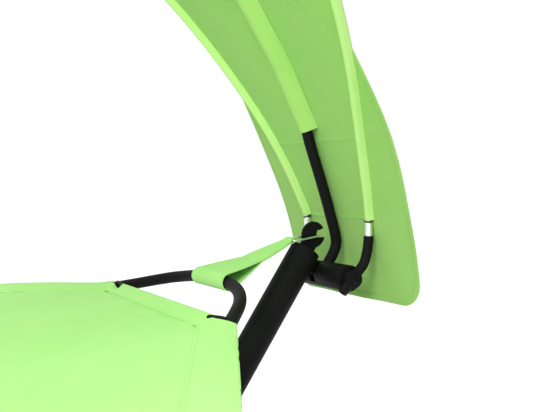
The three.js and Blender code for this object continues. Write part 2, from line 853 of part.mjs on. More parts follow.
const centreCurve = centreLine();
const centreLength = centreCurve.getLength();
const centreTube = (outer, inner, from, to) => tubeThrough(
  atLengths(centreCurve, lengthSteps(from, to, CENTRE_FINE_TO, CENTRE_STEP, COARSE_STEP)),
  outer,
  inner,
  TUBE_SIDES,
);
add(canopy, 'centre_arm', centreTube(
  CENTRE_ARM_R, CENTRE_ARM_R - CENTRE_ARM_WALL, 0, centreLength - GAP,
), PAINT);

// A closed sheet between two surfaces over a grid of rows and columns
function sheet(rows, columns, place) {
  const positions = [];
  const index = [];
  const width = columns.length;
  const total = rows.length * width;
  for (const level of [0, 1]) {
    for (const row of rows) {
      for (const column of columns) {
        positions.push(...place(row, column, level).toArray());
      }
    }
  }
  const quad = (a, b, c, d) => index.push(a, b, c, a, c, d);
  for (let i = 0; i + 1 < rows.length; i += 1) {
    for (let j = 0; j + 1 < width; j += 1) {
      const a = i * width + j;
      quad(a, a + width, a + width + 1, a + 1);
      quad(total + a, total + a + 1, total + a + width + 1, total + a + width);
    }
  }
  for (let j = 0; j + 1 < width; j += 1) {
    const last = (rows.length - 1) * width + j;
    quad(j, j + 1, total + j + 1, total + j);
    quad(last + 1, last, total + last, total + last + 1);
  }
  for (let i = 0; i + 1 < rows.length; i += 1) {
    const a = i * width;
    const b = a + width - 1;
    quad(a + width, a, total + a, total + a + width);
    quad(b, b + width, total + b + width, total + b);
  }
  const geometry = new THREE.BufferGeometry();
  geometry.setAttribute('position', new THREE.Float32BufferAttribute(positions, 3));
  geometry.setIndex(index);
  return geometry;
}

// Rows of the sheet within a rounded corner, as shares of its radius
const CORNER_ROW_SHARES = [0, 0.06, 0.22, 0.5];

function canopySheet() {
  const start = -CANOPY_FLAP_L;
  const flapRows = CORNER_ROW_SHARES.map((share) => start + share * FLAP_CORNER_R);
  const frontRows = CORNER_ROW_SHARES.map((share) => CANOPY_L - share * FRONT_CORNER_R);
  const rows = [
    ...flapRows,
    ...evenSteps(start + FLAP_CORNER_R, CANOPY_L - FRONT_CORNER_R, CANOPY_ROWS),
    ...frontRows.reverse(),
  ];
  const columns = evenSteps(-1, 1, CANOPY_COLUMNS);
  return sheet(rows, columns, (s, side, level) => arcPoint(
    s, side * canopyHalf(s), CANOPY_LIFT + level * CANOPY_T,
  ));
}

// The centre pocket's section under the arm, as shares of its outer radius
const POCKET_SHARES = [[1.1, -0.25], [0.68, -0.87], [0, -1.08]];

function pocketSolid(from, to) {
  const base = CANOPY_LIFT + CENTRE_RIB_DROP + CANOPY_T / 2;
  const wall = CENTRE_ARM_R + GAP + POCKET_WALL;
  const side = [
    [POCKET_HALF, base],
    [(POCKET_HALF + wall) / 2, base / 2],
    ...POCKET_SHARES.map(([across, up]) => [across * wall, up * wall]),
  ];
  const otherSide = side.slice(0, -1).reverse().map(([x, y]) => [-x, y]);
  const shape = new THREE.Shape([...side, ...otherSide].map(([x, y]) => new THREE.Vector2(x, y)));
  const points = evenSteps(from, to, POCKET_STEPS).map((s) => arcPoint(s, 0, -CENTRE_RIB_DROP));
  return new THREE.ExtrudeGeometry(shape, {
    extrudePath: polylineCurve(points), steps: points.length - 1, bevelEnabled: false,
  });
}

function addCanopySheet() {
  const sleeveOuter = RIB_R + GAP + RIB_SLEEVE_WALL;
  const sleeves = ['right', 'left'].map((side) => sideTube(
    side, sleeveStart, ribEnd, sleeveOuter, 0, ROD_SIDES,
  ));
  const room = bore(RIB_R + GAP, ROD_SIDES);
  const ribRooms = ['right', 'left'].map((side) => sideTube(
    side, sleeveStart - OVERRUN, ribEnd - GAP / 2, room, 0, ROD_SIDES,
  ));
  const collarRoom = bore(COLLAR_R + GAP, TUBE_SIDES);
  const collarRooms = ['right', 'left'].map((side) => sideTube(
    side, collarStart - COLLAR_GAP, collarStart + COLLAR_L + GAP, collarRoom, 0, TUBE_SIDES,
  ));
  const centreRoom = centreTube(
    bore(CENTRE_ARM_R + GAP, TUBE_SIDES), 0, 0, centreLength - GAP / 2,
  );
  const fabric = build(
    canopySheet(),
    [...sleeves, pocketSolid(POCKET_START, CANOPY_L - CANOPY_FRONT_MARGIN / 2)],
    [...ribRooms, ...collarRooms, centreRoom],
  );
  add(canopy, 'canopy_fabric', fabric, CANOPY_FABRIC);
}

addCanopySheet();

// Bed

// Height of the bed along its length, in shares of the hook's distance, above its lowest part
const headRise = HEAD_HOOK_Z - BED_EDGE_DROP - BED_LOW_Z;
const footRise = FOOT_HOOK_Z - BED_EDGE_DROP - BED_LOW_Z;
const edgeX = HOOK_X - BED_EDGE_IN;
const FOOT_PROFILE_SHARES = [[-1, 1], [-0.826, 0.74], [-0.606, 0.34]];
const HEAD_PROFILE_SHARES = [
  [-0.387, 0], [-0.168, 0], [0.039, 0.141], [0.258, 0.401], [0.49, 0.67], [0.723, 0.873],
  [0.89, 0.959], [0.948, 0.979], [1, 1],
];
const bedHeight = smooth([
  ...FOOT_PROFILE_SHARES.map(([x, z]) => [x * edgeX, BED_LOW_Z + z * footRise]),
  ...HEAD_PROFILE_SHARES.map(([x, z]) => [x * edgeX, BED_LOW_Z + z * headRise]),
]);

// The bow outside the fabric, as shares of the edge's distance in, its own half and the drop
const BOW_SHARES = [
  [0.697, 0, 0.686], [0.697, 0.112, 0.686], [0.701, 0.179, 0.695], [0.713, 0.246, 0.725],
  [0.732, 0.306, 0.756], [0.76, 0.366, 0.792], [0.796, 0.425, 0.838], [0.842, 0.485, 0.892],
  [0.898, 0.545, 0.951], [0.948, 0.597, 1], [1, 0.652, 1.052],
];
// The tube inside the hem, as shares of the edge's distance in and the rail's half
const SHOULDER_SHARES = [
  [1.105, 0.507], [1.23, 0.622], [1.355, 0.75], [1.463, 0.869], [1.53, 0.943],
  [1.585, 0.977], [1.646, 0.995], [1.723, 1],
];
const railHalf = BED_SHOULDER_HALF - BED_HEM;
const JOINT_SHARE = 1.88;
const endScale = (way) => (way > 0 ? 1 : BED_FOOT_SCALE);

function framePoints(end, sign) {
  const scale = endScale(end.way) * sign;
  const bow = BOW_SHARES.map(([inward, half, drop]) => point(
    end.way * (HOOK_X - inward * BED_EDGE_IN),
    half * BED_BOW_HALF * scale,
    end.hookZ - drop * BED_EDGE_DROP,
  ));
  const shoulder = SHOULDER_SHARES.map(([inward, half]) => {
    const x = end.way * (HOOK_X - inward * BED_EDGE_IN);
    return point(x, half * railHalf * scale, bedHeight(x) + BED_TUBE_LIFT);
  });
  return [...bow, ...shoulder];
}

const jointX = HOOK_X - JOINT_SHARE * BED_EDGE_IN;

function railPoint(x, sign) {
  const share = (x + jointX) / (2 * jointX);
  const half = railHalf * THREE.MathUtils.lerp(BED_FOOT_SCALE, 1, share);
  return point(x, sign * half, bedHeight(x) + BED_TUBE_LIFT);
}

// One half of the frame's loop, from the head bow's middle to the foot bow's
function frameHalf(sign) {
  const [head, foot] = ends;
  const rail = evenSteps(jointX, -jointX, RAIL_POINTS).map((x) => railPoint(x, sign));
  const points = [...framePoints(head, sign), ...rail, ...framePoints(foot, sign).reverse()];
  return new THREE.CatmullRomCurve3(points);
}

const frameLines = { right: frameHalf(-1), left: frameHalf(1) };
const frameLength = frameLines.right.getLength();

// Distance along a half frame to where it passes a given X, found by halving
function lengthAtX(curve, x) {
  let low = 0;
  let high = 1;
  for (let i = 0; i < HALVINGS; i += 1) {
    const middle = (low + high) / 2;
    if (curve.getPointAt(middle).x > x) {
      low = middle;
    } else {
      high = middle;
    }
  }
  return low * curve.getLength();
}

const headJoint = lengthAtX(frameLines.right, jointX);
const footJoint = lengthAtX(frameLines.right, -jointX);
const headExit = lengthAtX(frameLines.right, edgeX);
const footExit = lengthAtX(frameLines.right, -edgeX);

const framePath = (side, from, to, step) => {
  const count = Math.max(1, Math.round((to - from) / step));
  return atLengths(frameLines[side], evenSteps(from, to, count));
};

const wholeRun = (side) => [
  ...framePath(side, 0, headJoint, BOW_STEP),
  ...framePath(side, headJoint, footJoint, RAIL_STEP).slice(1),
  ...framePath(side, footJoint, frameLength, BOW_STEP).slice(1),
];

// A rod inside both tubes where a rail meets a bow
function jointPlug(bowPoint, joint, nextPoint) {
  const reach = joint.distanceTo(bowPoint) * PLUG_SHARE;
  const [from, to] = [bowPoint, nextPoint].map((other) => (
    joint.clone().lerp(other, reach / joint.distanceTo(other))
  ));
  const radius = BED_TUBE_R - BED_TUBE_WALL - GAP;
  return tubeThrough([from, joint, to], radius, 0, ROD_SIDES);
}

function addBedFrame() {
  const inner = BED_TUBE_R - BED_TUBE_WALL;
  const tube = (points) => tubeThrough(points, BED_TUBE_R, inner, TUBE_SIDES);
  const bowAcross = (from, to) => {
    const right = framePath('right', from, to, BOW_STEP);
    const left = framePath('left', from, to, BOW_STEP);
    return from === 0 ? [...right.reverse(), ...left.slice(1)]
      : [...right, ...left.reverse().slice(1)];
  };
  add(bed, 'head_bow', tube(bowAcross(0, headJoint)), PAINT);
  add(bed, 'foot_bow', tube(bowAcross(footJoint, frameLength)), PAINT);
  for (const side of ['right', 'left']) {
    const headPoints = framePath(side, 0, headJoint, BOW_STEP).reverse();
    const footPoints = framePath(side, footJoint, frameLength, BOW_STEP);
    const points = framePath(side, headJoint + FRAME_GAP, footJoint - FRAME_GAP, RAIL_STEP);
    add(bed, `${side}_side_rail`, tube(points), PAINT);
    const headPlug = jointPlug(headPoints[1], headPoints[0], points[1]);
    const footPlug = jointPlug(footPoints[1], footPoints[0], points[points.length - 2]);
    add(bed, `head_${side}_joint_plug`, headPlug, STEEL);
    add(bed, `foot_${side}_joint_plug`, footPlug, STEEL);
  }
}

addBedFrame();

// A line across the bed inside its end hem
function spreaderEnds(end, half) {
  const x = edgeX - SPREADER_IN;
  const z = bedHeight(end.way * x) + SPREADER_LIFT;
  const y = half * endScale(end.way);
  return [point(end.way * x, -y, z), point(end.way * x, y, z)];
}

const spreaderTube = (end, half, outer) => straight(
  ...spreaderEnds(end, half), outer, 0, ROD_SIDES,
);

function addSpreader(end) {
  const rooms = ['right', 'left'].map((side) => tubeThrough(
    wholeRun(side), bore(BED_TUBE_R + GAP, TUBE_SIDES), 0, TUBE_SIDES,
  ));
  const rod = build(spreaderTube(end, SPREADER_HALF, SPREADER_R), [], rooms);
  add(bed, `${end.name}_spreader`, rod, PAINT);
}

ends.forEach(addSpreader);

// Where the end hem is cut back, so that the rod and the bow's tube show
function hemNotch(end, sign) {
  const scale = endScale(end.way);
  const width = (HEM_NOTCH_TO - SPREADER_HEM_HALF) * scale;
  const box = new THREE.BoxGeometry(2 * HEM_NOTCH_DEPTH, width, 2 * BED_HEM);
  const y = sign * (SPREADER_HEM_HALF * scale + width / 2);
  box.translate(end.way * edgeX, y, bedHeight(end.way * edgeX));
  return box;
}

// Half the fabric's width, as shares of the edge's distance in and the shoulder's half
const EDGE_SHARES = [
  [1, 0.453], [1.16, 0.615], [1.31, 0.776], [1.465, 0.937], [1.53, 0.978], [1.6, 0.995],
  [1.7, 1], [1.88, 1],
];

function fabricRows() {
  const rows = [];
  for (const [inward, half] of EDGE_SHARES) {
    rows.push([HOOK_X - inward * BED_EDGE_IN, half * BED_SHOULDER_HALF]);
  }
  const [lastX, headHalf] = rows[rows.length - 1];
  const footHalf = headHalf * BED_FOOT_SCALE;
  for (const share of evenSteps(0, 1, BED_ROWS).slice(1, -1)) {
    rows.push([lastX * (1 - 2 * share), THREE.MathUtils.lerp(headHalf, footHalf, share)]);
  }
  for (const [inward, half] of [...EDGE_SHARES].reverse()) {
    rows.push([inward * BED_EDGE_IN - HOOK_X, half * BED_SHOULDER_HALF * BED_FOOT_SCALE]);
  }
  return rows;
}

function addBedFabric() {
  const panel = sheet(fabricRows(), evenSteps(-1, 1, BED_COLUMNS), ([x, half], side, level) => {
    const sag = BED_SAG * (1 - side ** 2) * (1 - (x / edgeX) ** 2);
    return point(x, side * half, bedHeight(x) - sag + (level - 1 / 2) * BED_T);
  });
  const sleeve = BED_TUBE_R + GAP + BED_SLEEVE_WALL;
  const inHem = (side) => [
    ...framePath(side, headExit + HEM_MOUTH, headJoint, BOW_STEP),
    ...framePath(side, headJoint, footJoint, RAIL_STEP).slice(1),
    ...framePath(side, footJoint, footExit - HEM_MOUTH, BOW_STEP).slice(1),
  ];
  const sides = ['right', 'left'];
  const spreaderSleeve = SPREADER_R + GAP + SPREADER_WALL;
  const spreaderRoom = bore(SPREADER_R + GAP, ROD_SIDES);
  const fabric = build(
    panel,
    [
      ...sides.map((side) => tubeThrough(inHem(side), sleeve, 0, ROD_SIDES)),
      ...ends.map((end) => spreaderTube(end, SPREADER_HEM_HALF, spreaderSleeve)),
    ],
    [
      ...sides.map((side) => tubeThrough(
        wholeRun(side), bore(BED_TUBE_R + GAP, ROD_SIDES), 0, ROD_SIDES,
      )),
      ...ends.map((end) => spreaderTube(end, SPREADER_HALF + OVERRUN, spreaderRoom)),
      ...ends.flatMap((end) => [-1, 1].map((sign) => hemNotch(end, sign))),
    ],
  );
  add(bed, 'bed_fabric', fabric, BED_FABRIC);
}

addBedFabric();

// A wire ring through the hook's slot, rolled a little, with a straight base for the strap:
// shares of its length, of its half width at apex and base, and of its roll
const RING_SHARES = [
  [0, 0, 0, 0], [0, 0.58, 0, 0], [0.04, 1.06, 0, 0.1], [0.13, 1.2, 0, 0.3],
  [0.5, 1.2, 0.35, 0.9], [0.88, 1.2, 0.72, 1.1], [0.97, 1.1, 0.72, 1], [1, 0.7, 0.6, 1],
  [1, 0, 0, 1],
];

function ringPath(end) {
  const half = RING_SHARES.map(([reach, apex, base, roll]) => [
    reach * RING_L, apex * RING_APEX_HALF + base * (RING_BASE_HALF - RING_APEX_HALF),
    reach * RING_DROP, roll * RING_ROLL,
  ]);
  const side = (rows, sign) => rows.map(([x, y, z, roll]) => (
    point(HOOK_X - x, sign * y, end.hookZ - z + sign * y * roll)
  ));
  const back = half.slice(1, -1).reverse();
  return new THREE.CatmullRomCurve3([...side(half, 1), ...side(back, -1)], true);
}

// The strap's side view is drawn along the line from ring to bow, and mirrored about it
const STRAP_NECK_SHARE = 0.06;
const STRAP_WIDTH_SHARES = [
  [0, 0], [0.15, 0.18], [0.31, 0.34], [0.423, 0.465], [0.56, 0.59], [0.7, 0.75], [0.83, 0.86],
  [1.076, 1],
];

const arcRun = (centre, radius, from, to) => evenSteps(from, to, STRAP_TURN_STEPS).map(
  (angle) => [centre + radius * Math.cos(angle), radius * Math.sin(angle)],
);

// Where a line from a tip touches a circle further along, as an angle at the circle's centre
const touchAngle = (tip, centre, rise) => Math.PI / 2 + Math.asin(rise / (centre - tip));

function strapOutline(length) {
  const neck = STRAP_NECK_SHARE * length;
  const part = STRAP_PART_SHARE * length;
  const bowR = BED_TUBE_R + STRAP_GAP + STRAP_SLACK + STRAP_T;
  const ringR = RING_WIRE_R + STRAP_GAP + STRAP_T;
  const bow = length - STRAP_PULL;
  const bowTouch = touchAngle(part, bow, bowR - STRAP_T);
  const ringTouch = touchAngle(0, neck, ringR - STRAP_T) - Math.PI / 2;
  const knots = STRAP_WIDTH_SHARES.map(([share]) => share * length)
    .filter((u) => u > neck && u < part);
  const crown = (u) => STRAP_CROWN * Math.sin((Math.PI * (u - neck)) / (part - neck));
  return [
    ...arcRun(0, ringR, Math.PI, Math.PI / 2 - ringTouch),
    ...[neck, ...knots, part].map((u) => [u, STRAP_T + crown(u)]),
    ...arcRun(bow, bowR, bowTouch, 0),
  ];
}

function strapLoop(length) {
  const part = STRAP_PART_SHARE * length;
  const bowR = BED_TUBE_R + STRAP_GAP + STRAP_SLACK;
  const bow = length - STRAP_PULL;
  return [[part, 0], ...arcRun(bow, bowR, touchAngle(part, bow, bowR), 0)];
}

function strapGeometry(end) {
  const ringEnd = new THREE.Vector2(HOOK_X - RING_L, end.hookZ - RING_DROP);
  const bowEnd = new THREE.Vector2(
    HOOK_X - BOW_SHARES[0][0] * BED_EDGE_IN,
    end.hookZ - BOW_SHARES[0][2] * BED_EDGE_DROP,
  );
  const way = bowEnd.clone().sub(ringEnd).normalize();
  const length = ringEnd.distanceTo(bowEnd);
  const closed = (half) => [
    ...half, ...half.slice(1, -1).reverse().map(([u, v]) => [u, -v]),
  ].map(([u, v]) => new THREE.Vector2(
    ringEnd.x + u * way.x + v * way.y, ringEnd.y + u * way.y - v * way.x,
  ));
  const shape = new THREE.Shape(closed(strapOutline(length)));
  shape.holes.push(new THREE.Path(closed(strapLoop(length))));
  shape.holes.push(new THREE.Path(
    closed(arcRun(0, RING_WIRE_R + STRAP_GAP, Math.PI, 0)),
  ));
  const geometry = plate(shape, 1);
  const positions = geometry.attributes.position;
  const widening = new THREE.LinearInterpolant(
    STRAP_WIDTH_SHARES.map(([share]) => share), STRAP_WIDTH_SHARES.map(([, part]) => part), 1, [0],
  );
  for (let i = 0; i < positions.count; i += 1) {
    const share = (ringEnd.x - positions.getX(i)) / (ringEnd.x - bowEnd.x);
    const half = THREE.MathUtils.lerp(
      STRAP_RING_HALF, STRAP_BOW_HALF * endScale(end.way), widening.evaluate(share)[0],
    );
    const roll = RING_ROLL * THREE.MathUtils.clamp(1 - share / STRAP_PART_SHARE, 0, 1);
    const y = positions.getY(i) * 2 * half;
    positions.setY(i, y);
    positions.setZ(i, positions.getZ(i) + y * roll);
  }
  return geometry;
}

for (const end of ends) {
  const ring = new THREE.TubeGeometry(ringPath(end), RING_STEPS, RING_WIRE_R, RING_SIDES, true);
  add(bed, `${end.name}_ring`, mirrored(ring, end.way), STEEL);
  add(bed, `${end.name}_strap`, mirrored(strapGeometry(end), end.way), BED_FABRIC);
}

// The origin goes to the middle of the part's box, on the ground
root.updateMatrixWorld(true);
const bounds = new THREE.Box3().setFromObject(root, true);
root.position.x = -(bounds.min.x + bounds.max.x) / 2;

export default root;
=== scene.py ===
# Looks for the sun lounger with canopy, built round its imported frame
# Sizes are millimetres in the CAD's own drawing, which the frame moves by MID_X

import math

import bmesh
import bpy
import numpy as np
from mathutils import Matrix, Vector


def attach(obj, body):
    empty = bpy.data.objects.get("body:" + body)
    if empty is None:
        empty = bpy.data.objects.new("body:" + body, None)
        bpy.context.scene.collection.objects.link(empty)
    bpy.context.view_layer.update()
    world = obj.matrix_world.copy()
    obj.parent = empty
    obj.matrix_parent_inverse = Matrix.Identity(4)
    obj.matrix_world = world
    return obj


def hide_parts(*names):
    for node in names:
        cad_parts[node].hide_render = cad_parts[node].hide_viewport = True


MM = 0.001
MID_X = -38.18

# Camera, as it stood in the photograph
CAMERA_AT = (241.4, -1344.0, 1011.5)
CAMERA_TURN = math.radians(29.6)
CAMERA_DIP = math.radians(1.86)
CAMERA_LENS = 52.36
CAMERA_SENSOR = 36.0

# Hooks
HOOK_X = 1100.0
HOOK_Z = {"head": 900.0, "foot": 669.0}
WAY = {"head": 1.0, "foot": -1.0}
END_SCALE = {"head": 1.0, "foot": 0.76}
HOOK_DISC_R = 26.0
HOOK_DISC = (-8.0, 3.0)
HOOK_PLATE_T = 6.0
HOOK_SEAT_R = 2.9
HOOK_SLOT_TOP = 11.0
HOOK_MOUTH = (9.0, 12.6)
HOOK_FLARE = math.radians(28)
HOOK_STEM_W = 34.0
HOOK_STEM_DEPTH = 40.0

# Stand
POST_R = 30.0
POST_WALL = 2.0
POST_LEAN = math.radians(34)
POST_LINE = (-75.6, -100.5)
POST_TOP_DROP = 86.5
POST_BEND_R = 180.0
POST_STUB = 107.0
POST_CAP_T = 3.0
SPINE_Z = 100.0
JOINT_SCREW_OFFSET = 32.0
SCREW_HEAD_R = 7.5
SCREW_HEAD_H = 4.0
FOOT_TUBE_R = 25.0
FOOT_TUBE_WALL = 2.0
FOOT_TUBE_L = 1200.0
FOOT_TUBE_Z = 39.0
FOOT_STUB_SHARE = 0.3
SADDLE_SIZE = 66.0
SADDLE_WRAP_SHARE = 0.45
CAP_WALL = 3.0
CAP_DEPTH = 45.0
CAP_PAD_W = 40.0
BOLT_R = 5.0
BOLT_HEAD_R = 9.0
BOLT_HEAD_H = 6.0
NUT_R = 9.0
NUT_H = 8.0
WASHER_R = 13.0
WASHER_T = 2.0
GAP = 0.3

# Canopy pivot and arms
PIVOT = (1114.0, 824.0)
HUB_R = 25.5
HUB_HALF = 95.0
HUB_SLOT_HALF = 8.6
LUG_EYE_R = 13.0
LUG_HALF = 6.0
ARM_R = 9.5
ARM_L = 125.0
ARM_TIP = 34.0
ARM_LEAN = math.radians(44)
ARM_Y = HUB_HALF + GAP + ARM_R
ARM_BOSS_R = 16.5
CENTRE_ARM_R = 11.0
CENTRE_ARM_WALL = 2.0
RIB_R = 5.0
FERRULE_R = 7.5
FERRULE_L = 27.0
COLLAR_R = 8.3
COLLAR_L = 3.0
COLLAR_GAP = 0.8
PIVOT_HEAD_H = 3.0
PIVOT_NUT_H = 4.0
PIVOT_WASHER_T = 1.0

# Canopy cloth
RIB_FOOT = (1146.0, 938.0)
RIB_MERGE = 45.0
RIB_LEAN = math.radians(16.6)
RIB_ARC_R = 1390.0
CANOPY_L = 1110.0
CANOPY_FLAP_L = 168.0
CANOPY_LIFT = 7.6
CANOPY_FRONT_MARGIN = 25.0
CENTRE_RIB_DROP = 5.8
CANOPY_HALF = 442.0
CANOPY_HEM = 12.0
FLAP_HALF = 214.0
FLAP_BULGE = 18.0
FLAP_CORNER_R = 52.0
FRONT_CORNER_R = 70.0
RIB_EDGE = 8.6
POCKET_HALF = 23.0
POCKET_START = 185.0
SLEEVE_R = 6.4
CLOTH_T = 1.1
SEAMS = (-2.0, 157.0)
ARC_POINTS = 14
RIB_SPREAD_SHARES = [
    (0, 0.25), (0.146, 0.353), (0.287, 0.489), (0.42, 0.611), (0.63, 0.793), (0.81, 0.94), (1, 1.08),
]
ARM_ROOT_SHARES = (-1, 0, 0.75)
ARM_LINE_SHARES = [
    (0.78, 0.25), (1, 0.46), (1.06, 0.62), (1.065, 0.73), (1.05, 0.86), (1.015, 0.97),
]
CENTRE_ROOT_SHARES = (0.67, 1, 1.35)
CENTRE_LINE_SHARES = [
    (0.88, 0.38), (1.03, 0.51), (0.98, 0.67), (0.59, 1.03), (0.41, 1.2), (-0.16, 1.67), (-0.95, 2.29),
]

# Bed
BED_TUBE_R = 11.0
BED_TUBE_WALL = 2.0
BED_EDGE_IN = 325.0
BED_EDGE_DROP = 105.0
BED_TUBE_LIFT = -8.0
TUBE_HEM_UP = 4.4
TUBE_HEM_DOWN = -20.4
BED_BOW_HALF = 402.0
BED_SHOULDER_HALF = 640.0
BED_RAIL_HALF = 608.0
BED_SAG = 12.0
BED_LOW_Z = 456.0
BED_JOINT_SHARE = 1.88
RAIL_POINTS = 10
BOW_STEP = 9.0
RAIL_STEP = 20.0
RAIL_GAP = 1.8
FOOT_PROFILE_SHARES = [(-1, 1), (-0.826, 0.74), (-0.606, 0.34)]
HEAD_PROFILE_SHARES = [
    (-0.387, 0), (-0.168, 0), (0.039, 0.141), (0.258, 0.401), (0.49, 0.67), (0.723, 0.873),
    (0.89, 0.959), (0.948, 0.979), (1, 1),
]
BOW_SHARES = [
    (0.697, 0, 0.686), (0.697, 0.112, 0.686), (0.701, 0.179, 0.695), (0.713, 0.246, 0.725),
    (0.732, 0.306, 0.756), (0.76, 0.366, 0.792), (0.796, 0.425, 0.838), (0.842, 0.485, 0.892),
    (0.898, 0.545, 0.951), (0.948, 0.597, 1), (1, 0.652, 1.052),
]
SHOULDER_SHARES = [
    (1.105, 0.507), (1.23, 0.622), (1.355, 0.75), (1.463, 0.869), (1.53, 0.943),
    (1.585, 0.977), (1.646, 0.995), (1.723, 1),
]
# Outer outline of the cloth, as distance in from the hook and half width
BED_OUTLINE = [(325, 290), (476, 600), (497, 626), (520, 637), (552.5, 640)]
BED_SEAM_HEAD = (362.0, 228.0)
BED_SEAM_SHOULDER = (538.0, 572.0)
MOUTH_BACK = 14.0
ROD_LIP = 0.5
TUBE_LIP = 6.8
CORNER_RISE = 2.8
HEM_TAB_R = 5.0

# Strap and ring
RING_WIRE_R = 2.0
RING_L = 60.5
RING_DROP = 5.5
RING_ROLL = 0.12
RING_APEX_HALF = 6.2
RING_BASE_HALF = 15.0
STRAP_T = 1.8
STRAP_GAP = 0.8
STRAP_SLACK = 2.7
STRAP_PULL = 1.4
STRAP_RING_HALF = 11.0
STRAP_BOW_HALF = 67.0
STRAP_NECK_SHARE = 0.06
STRAP_PART_SHARE = 0.51
STRAP_STITCH_IN = 2.6
STRAP_WIDTH_SHARES = [
    (0, 0), (0.15, 0.18), (0.31, 0.34), (0.423, 0.465), (0.56, 0.59), (0.7, 0.75), (0.83, 0.86),
    (1.076, 1),
]
RING_SHARES = [
    (0, 0, 0, 0), (0, 0.58, 0, 0), (0.04, 1.06, 0, 0.1), (0.13, 1.2, 0, 0.3), (0.5, 1.2, 0.35, 0.9),
    (0.88, 1.2, 0.72, 1.1), (0.97, 1.1, 0.72, 1), (1, 0.7, 0.6, 1), (1, 0, 0, 1),
]

# Fineness and softness of shapes
TUBE_SIDES = 40
THIN_SIDES = 24
HEX_SIDES = 48
FOOT_SIDES = 56
POST_SIDES = 64
HUB_SIDES = 80
DISC_SIDES = 96
STITCH_SIDES = 5
SPLINE_SAMPLES = 24
BEND_POINTS = 29
STRAIGHT_POINTS = 13
SEAT_POINTS = 13
NEARLY_UPRIGHT = 0.9
NEARLY_PARALLEL = 0.2
TUBE_EDGE = 0.6
POST_EDGE = 0.8
DISC_EDGE = 0.5
WASHER_EDGE = 0.4
EDGE_SHARE = 0.3
BORE_DEPTH = 30.0
SHARP = math.radians(38)
HUB_SHARP = math.radians(40)
HOOK_SHARP = math.radians(50)
CLOTH_SHARP = math.radians(60)
WEB_SHARP = math.radians(70)
NODE_SHARP = math.radians(30)
NODE_BEVEL = 0.5
STITCH_L = 3.2
STITCH_PITCH = 4.6
STITCH_R = 0.42
STITCH_SECTIONS = [(-0.5, -0.35, 0.15), (-0.3, 0.25, 1), (0, 0.4, 1.05), (0.3, 0.25, 1), (0.5, -0.35, 0.15)]

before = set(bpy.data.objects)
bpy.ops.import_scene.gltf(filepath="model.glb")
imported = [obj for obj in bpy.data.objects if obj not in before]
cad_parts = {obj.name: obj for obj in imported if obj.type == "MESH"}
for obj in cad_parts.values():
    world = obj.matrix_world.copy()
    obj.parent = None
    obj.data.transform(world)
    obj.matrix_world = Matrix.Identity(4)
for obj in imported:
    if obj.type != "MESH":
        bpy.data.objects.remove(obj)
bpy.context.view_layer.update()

# Curves and numbers


def vec(x, y, z):
    return np.array((x, y, z), float)


def unit(vectors):
    return vectors / np.linalg.norm(vectors, axis=-1, keepdims=True)


def smooth_step(x):
    x = np.clip(x, 0, 1)
    return x * x * (3 - 2 * x)


def hermite(t, start, end, into, out):
    """The cubic from one value to the next, with its slopes at both."""
    return (
        start * (2 * t ** 3 - 3 * t ** 2 + 1) + end * (3 * t ** 2 - 2 * t ** 3)
        + into * (t ** 3 - 2 * t ** 2 + t) + out * (t ** 3 - t ** 2)
    )


def smooth(pairs):
    """A smooth curve through a table of pairs, as a function of the first value."""
    xs, ys = np.array(pairs, float).T
    slopes = np.diff(ys) / np.diff(xs)
    tangents = np.concatenate((slopes[:1], (slopes[:-1] + slopes[1:]) / 2, slopes[-1:]))

    def value(x):
        x = np.clip(np.asarray(x, float), xs[0], xs[-1])
        i = np.clip(np.searchsorted(xs, x, side="right") - 1, 0, len(xs) - 2)
        width = xs[i + 1] - xs[i]
        return hermite((x - xs[i]) / width, ys[i], ys[i + 1], tangents[i] * width, tangents[i + 1] * width)

    return value


def spline(control, closed=False):
    """Dense points along a centripetal spline through the control points."""
    control = np.array(control, float)
    if closed:
        padded = np.vstack((control[-1:], control, control[:2]))
    else:
        padded = np.vstack((2 * control[0] - control[1], control, 2 * control[-1] - control[-2]))
    dense = []
    for window in zip(padded, padded[1:], padded[2:], padded[3:]):
        before, start, end, after = window
        first, step, last = [math.sqrt(np.linalg.norm(b - a)) for a, b in zip(window, window[1:])]
        chord = (end - start) / step
        into = (start - before) / first - (end - before) / (first + step) + chord
        out = chord - (after - start) / (step + last) + (after - end) / last
        for t in np.arange(SPLINE_SAMPLES) / SPLINE_SAMPLES:
            dense.append(hermite(t, start, end, into * step, out * step))
    dense.append(padded[-2])
    return np.array(dense)


def lengths_of(points):
    return np.concatenate(([0], np.cumsum(np.linalg.norm(np.diff(points, axis=0), axis=1))))


def at_lengths(points, wanted):
    lengths = lengths_of(points)
    return np.column_stack([np.interp(wanted, lengths, points[:, i]) for i in range(points.shape[1])])


def between(points, start, end, step):
    """Evenly spaced points of a line, from one distance along it to another."""
    count = max(1, round((end - start) / step))
    return at_lengths(points, np.linspace(start, end, count + 1))


def frames(points, closed=False):
    """Two cross directions at each point, carried along the line without twist."""
    if closed:
        tangents = unit(np.roll(points, -1, 0) - np.roll(points, 1, 0))
    else:
        tangents = unit(np.gradient(points, axis=0))
    side = np.cross(tangents[0], (0, 0, 1))
    if np.linalg.norm(side) < NEARLY_PARALLEL:
        side = np.cross(tangents[0], (0, 1, 0))
    sides = []
    for tangent in tangents:
        side = unit(side - tangent * side.dot(tangent))
        sides.append(side)
    sides = np.array(sides)
    return sides, np.cross(sides, tangents)


def axes_of(direction):
    """A direction and two cross directions, all of length 1."""
    direction = unit(np.asarray(direction, float))
    other = (0, 0, 1) if abs(direction[2]) < NEARLY_UPRIGHT else (1, 0, 0)
    across = unit(np.cross(direction, other))
    return direction, across, np.cross(direction, across)


# Meshes


def put(name, data):
    """An object with this data, in the scene."""
    made = bpy.data.objects.new(name, data)
    bpy.context.scene.collection.objects.link(made)
    return made


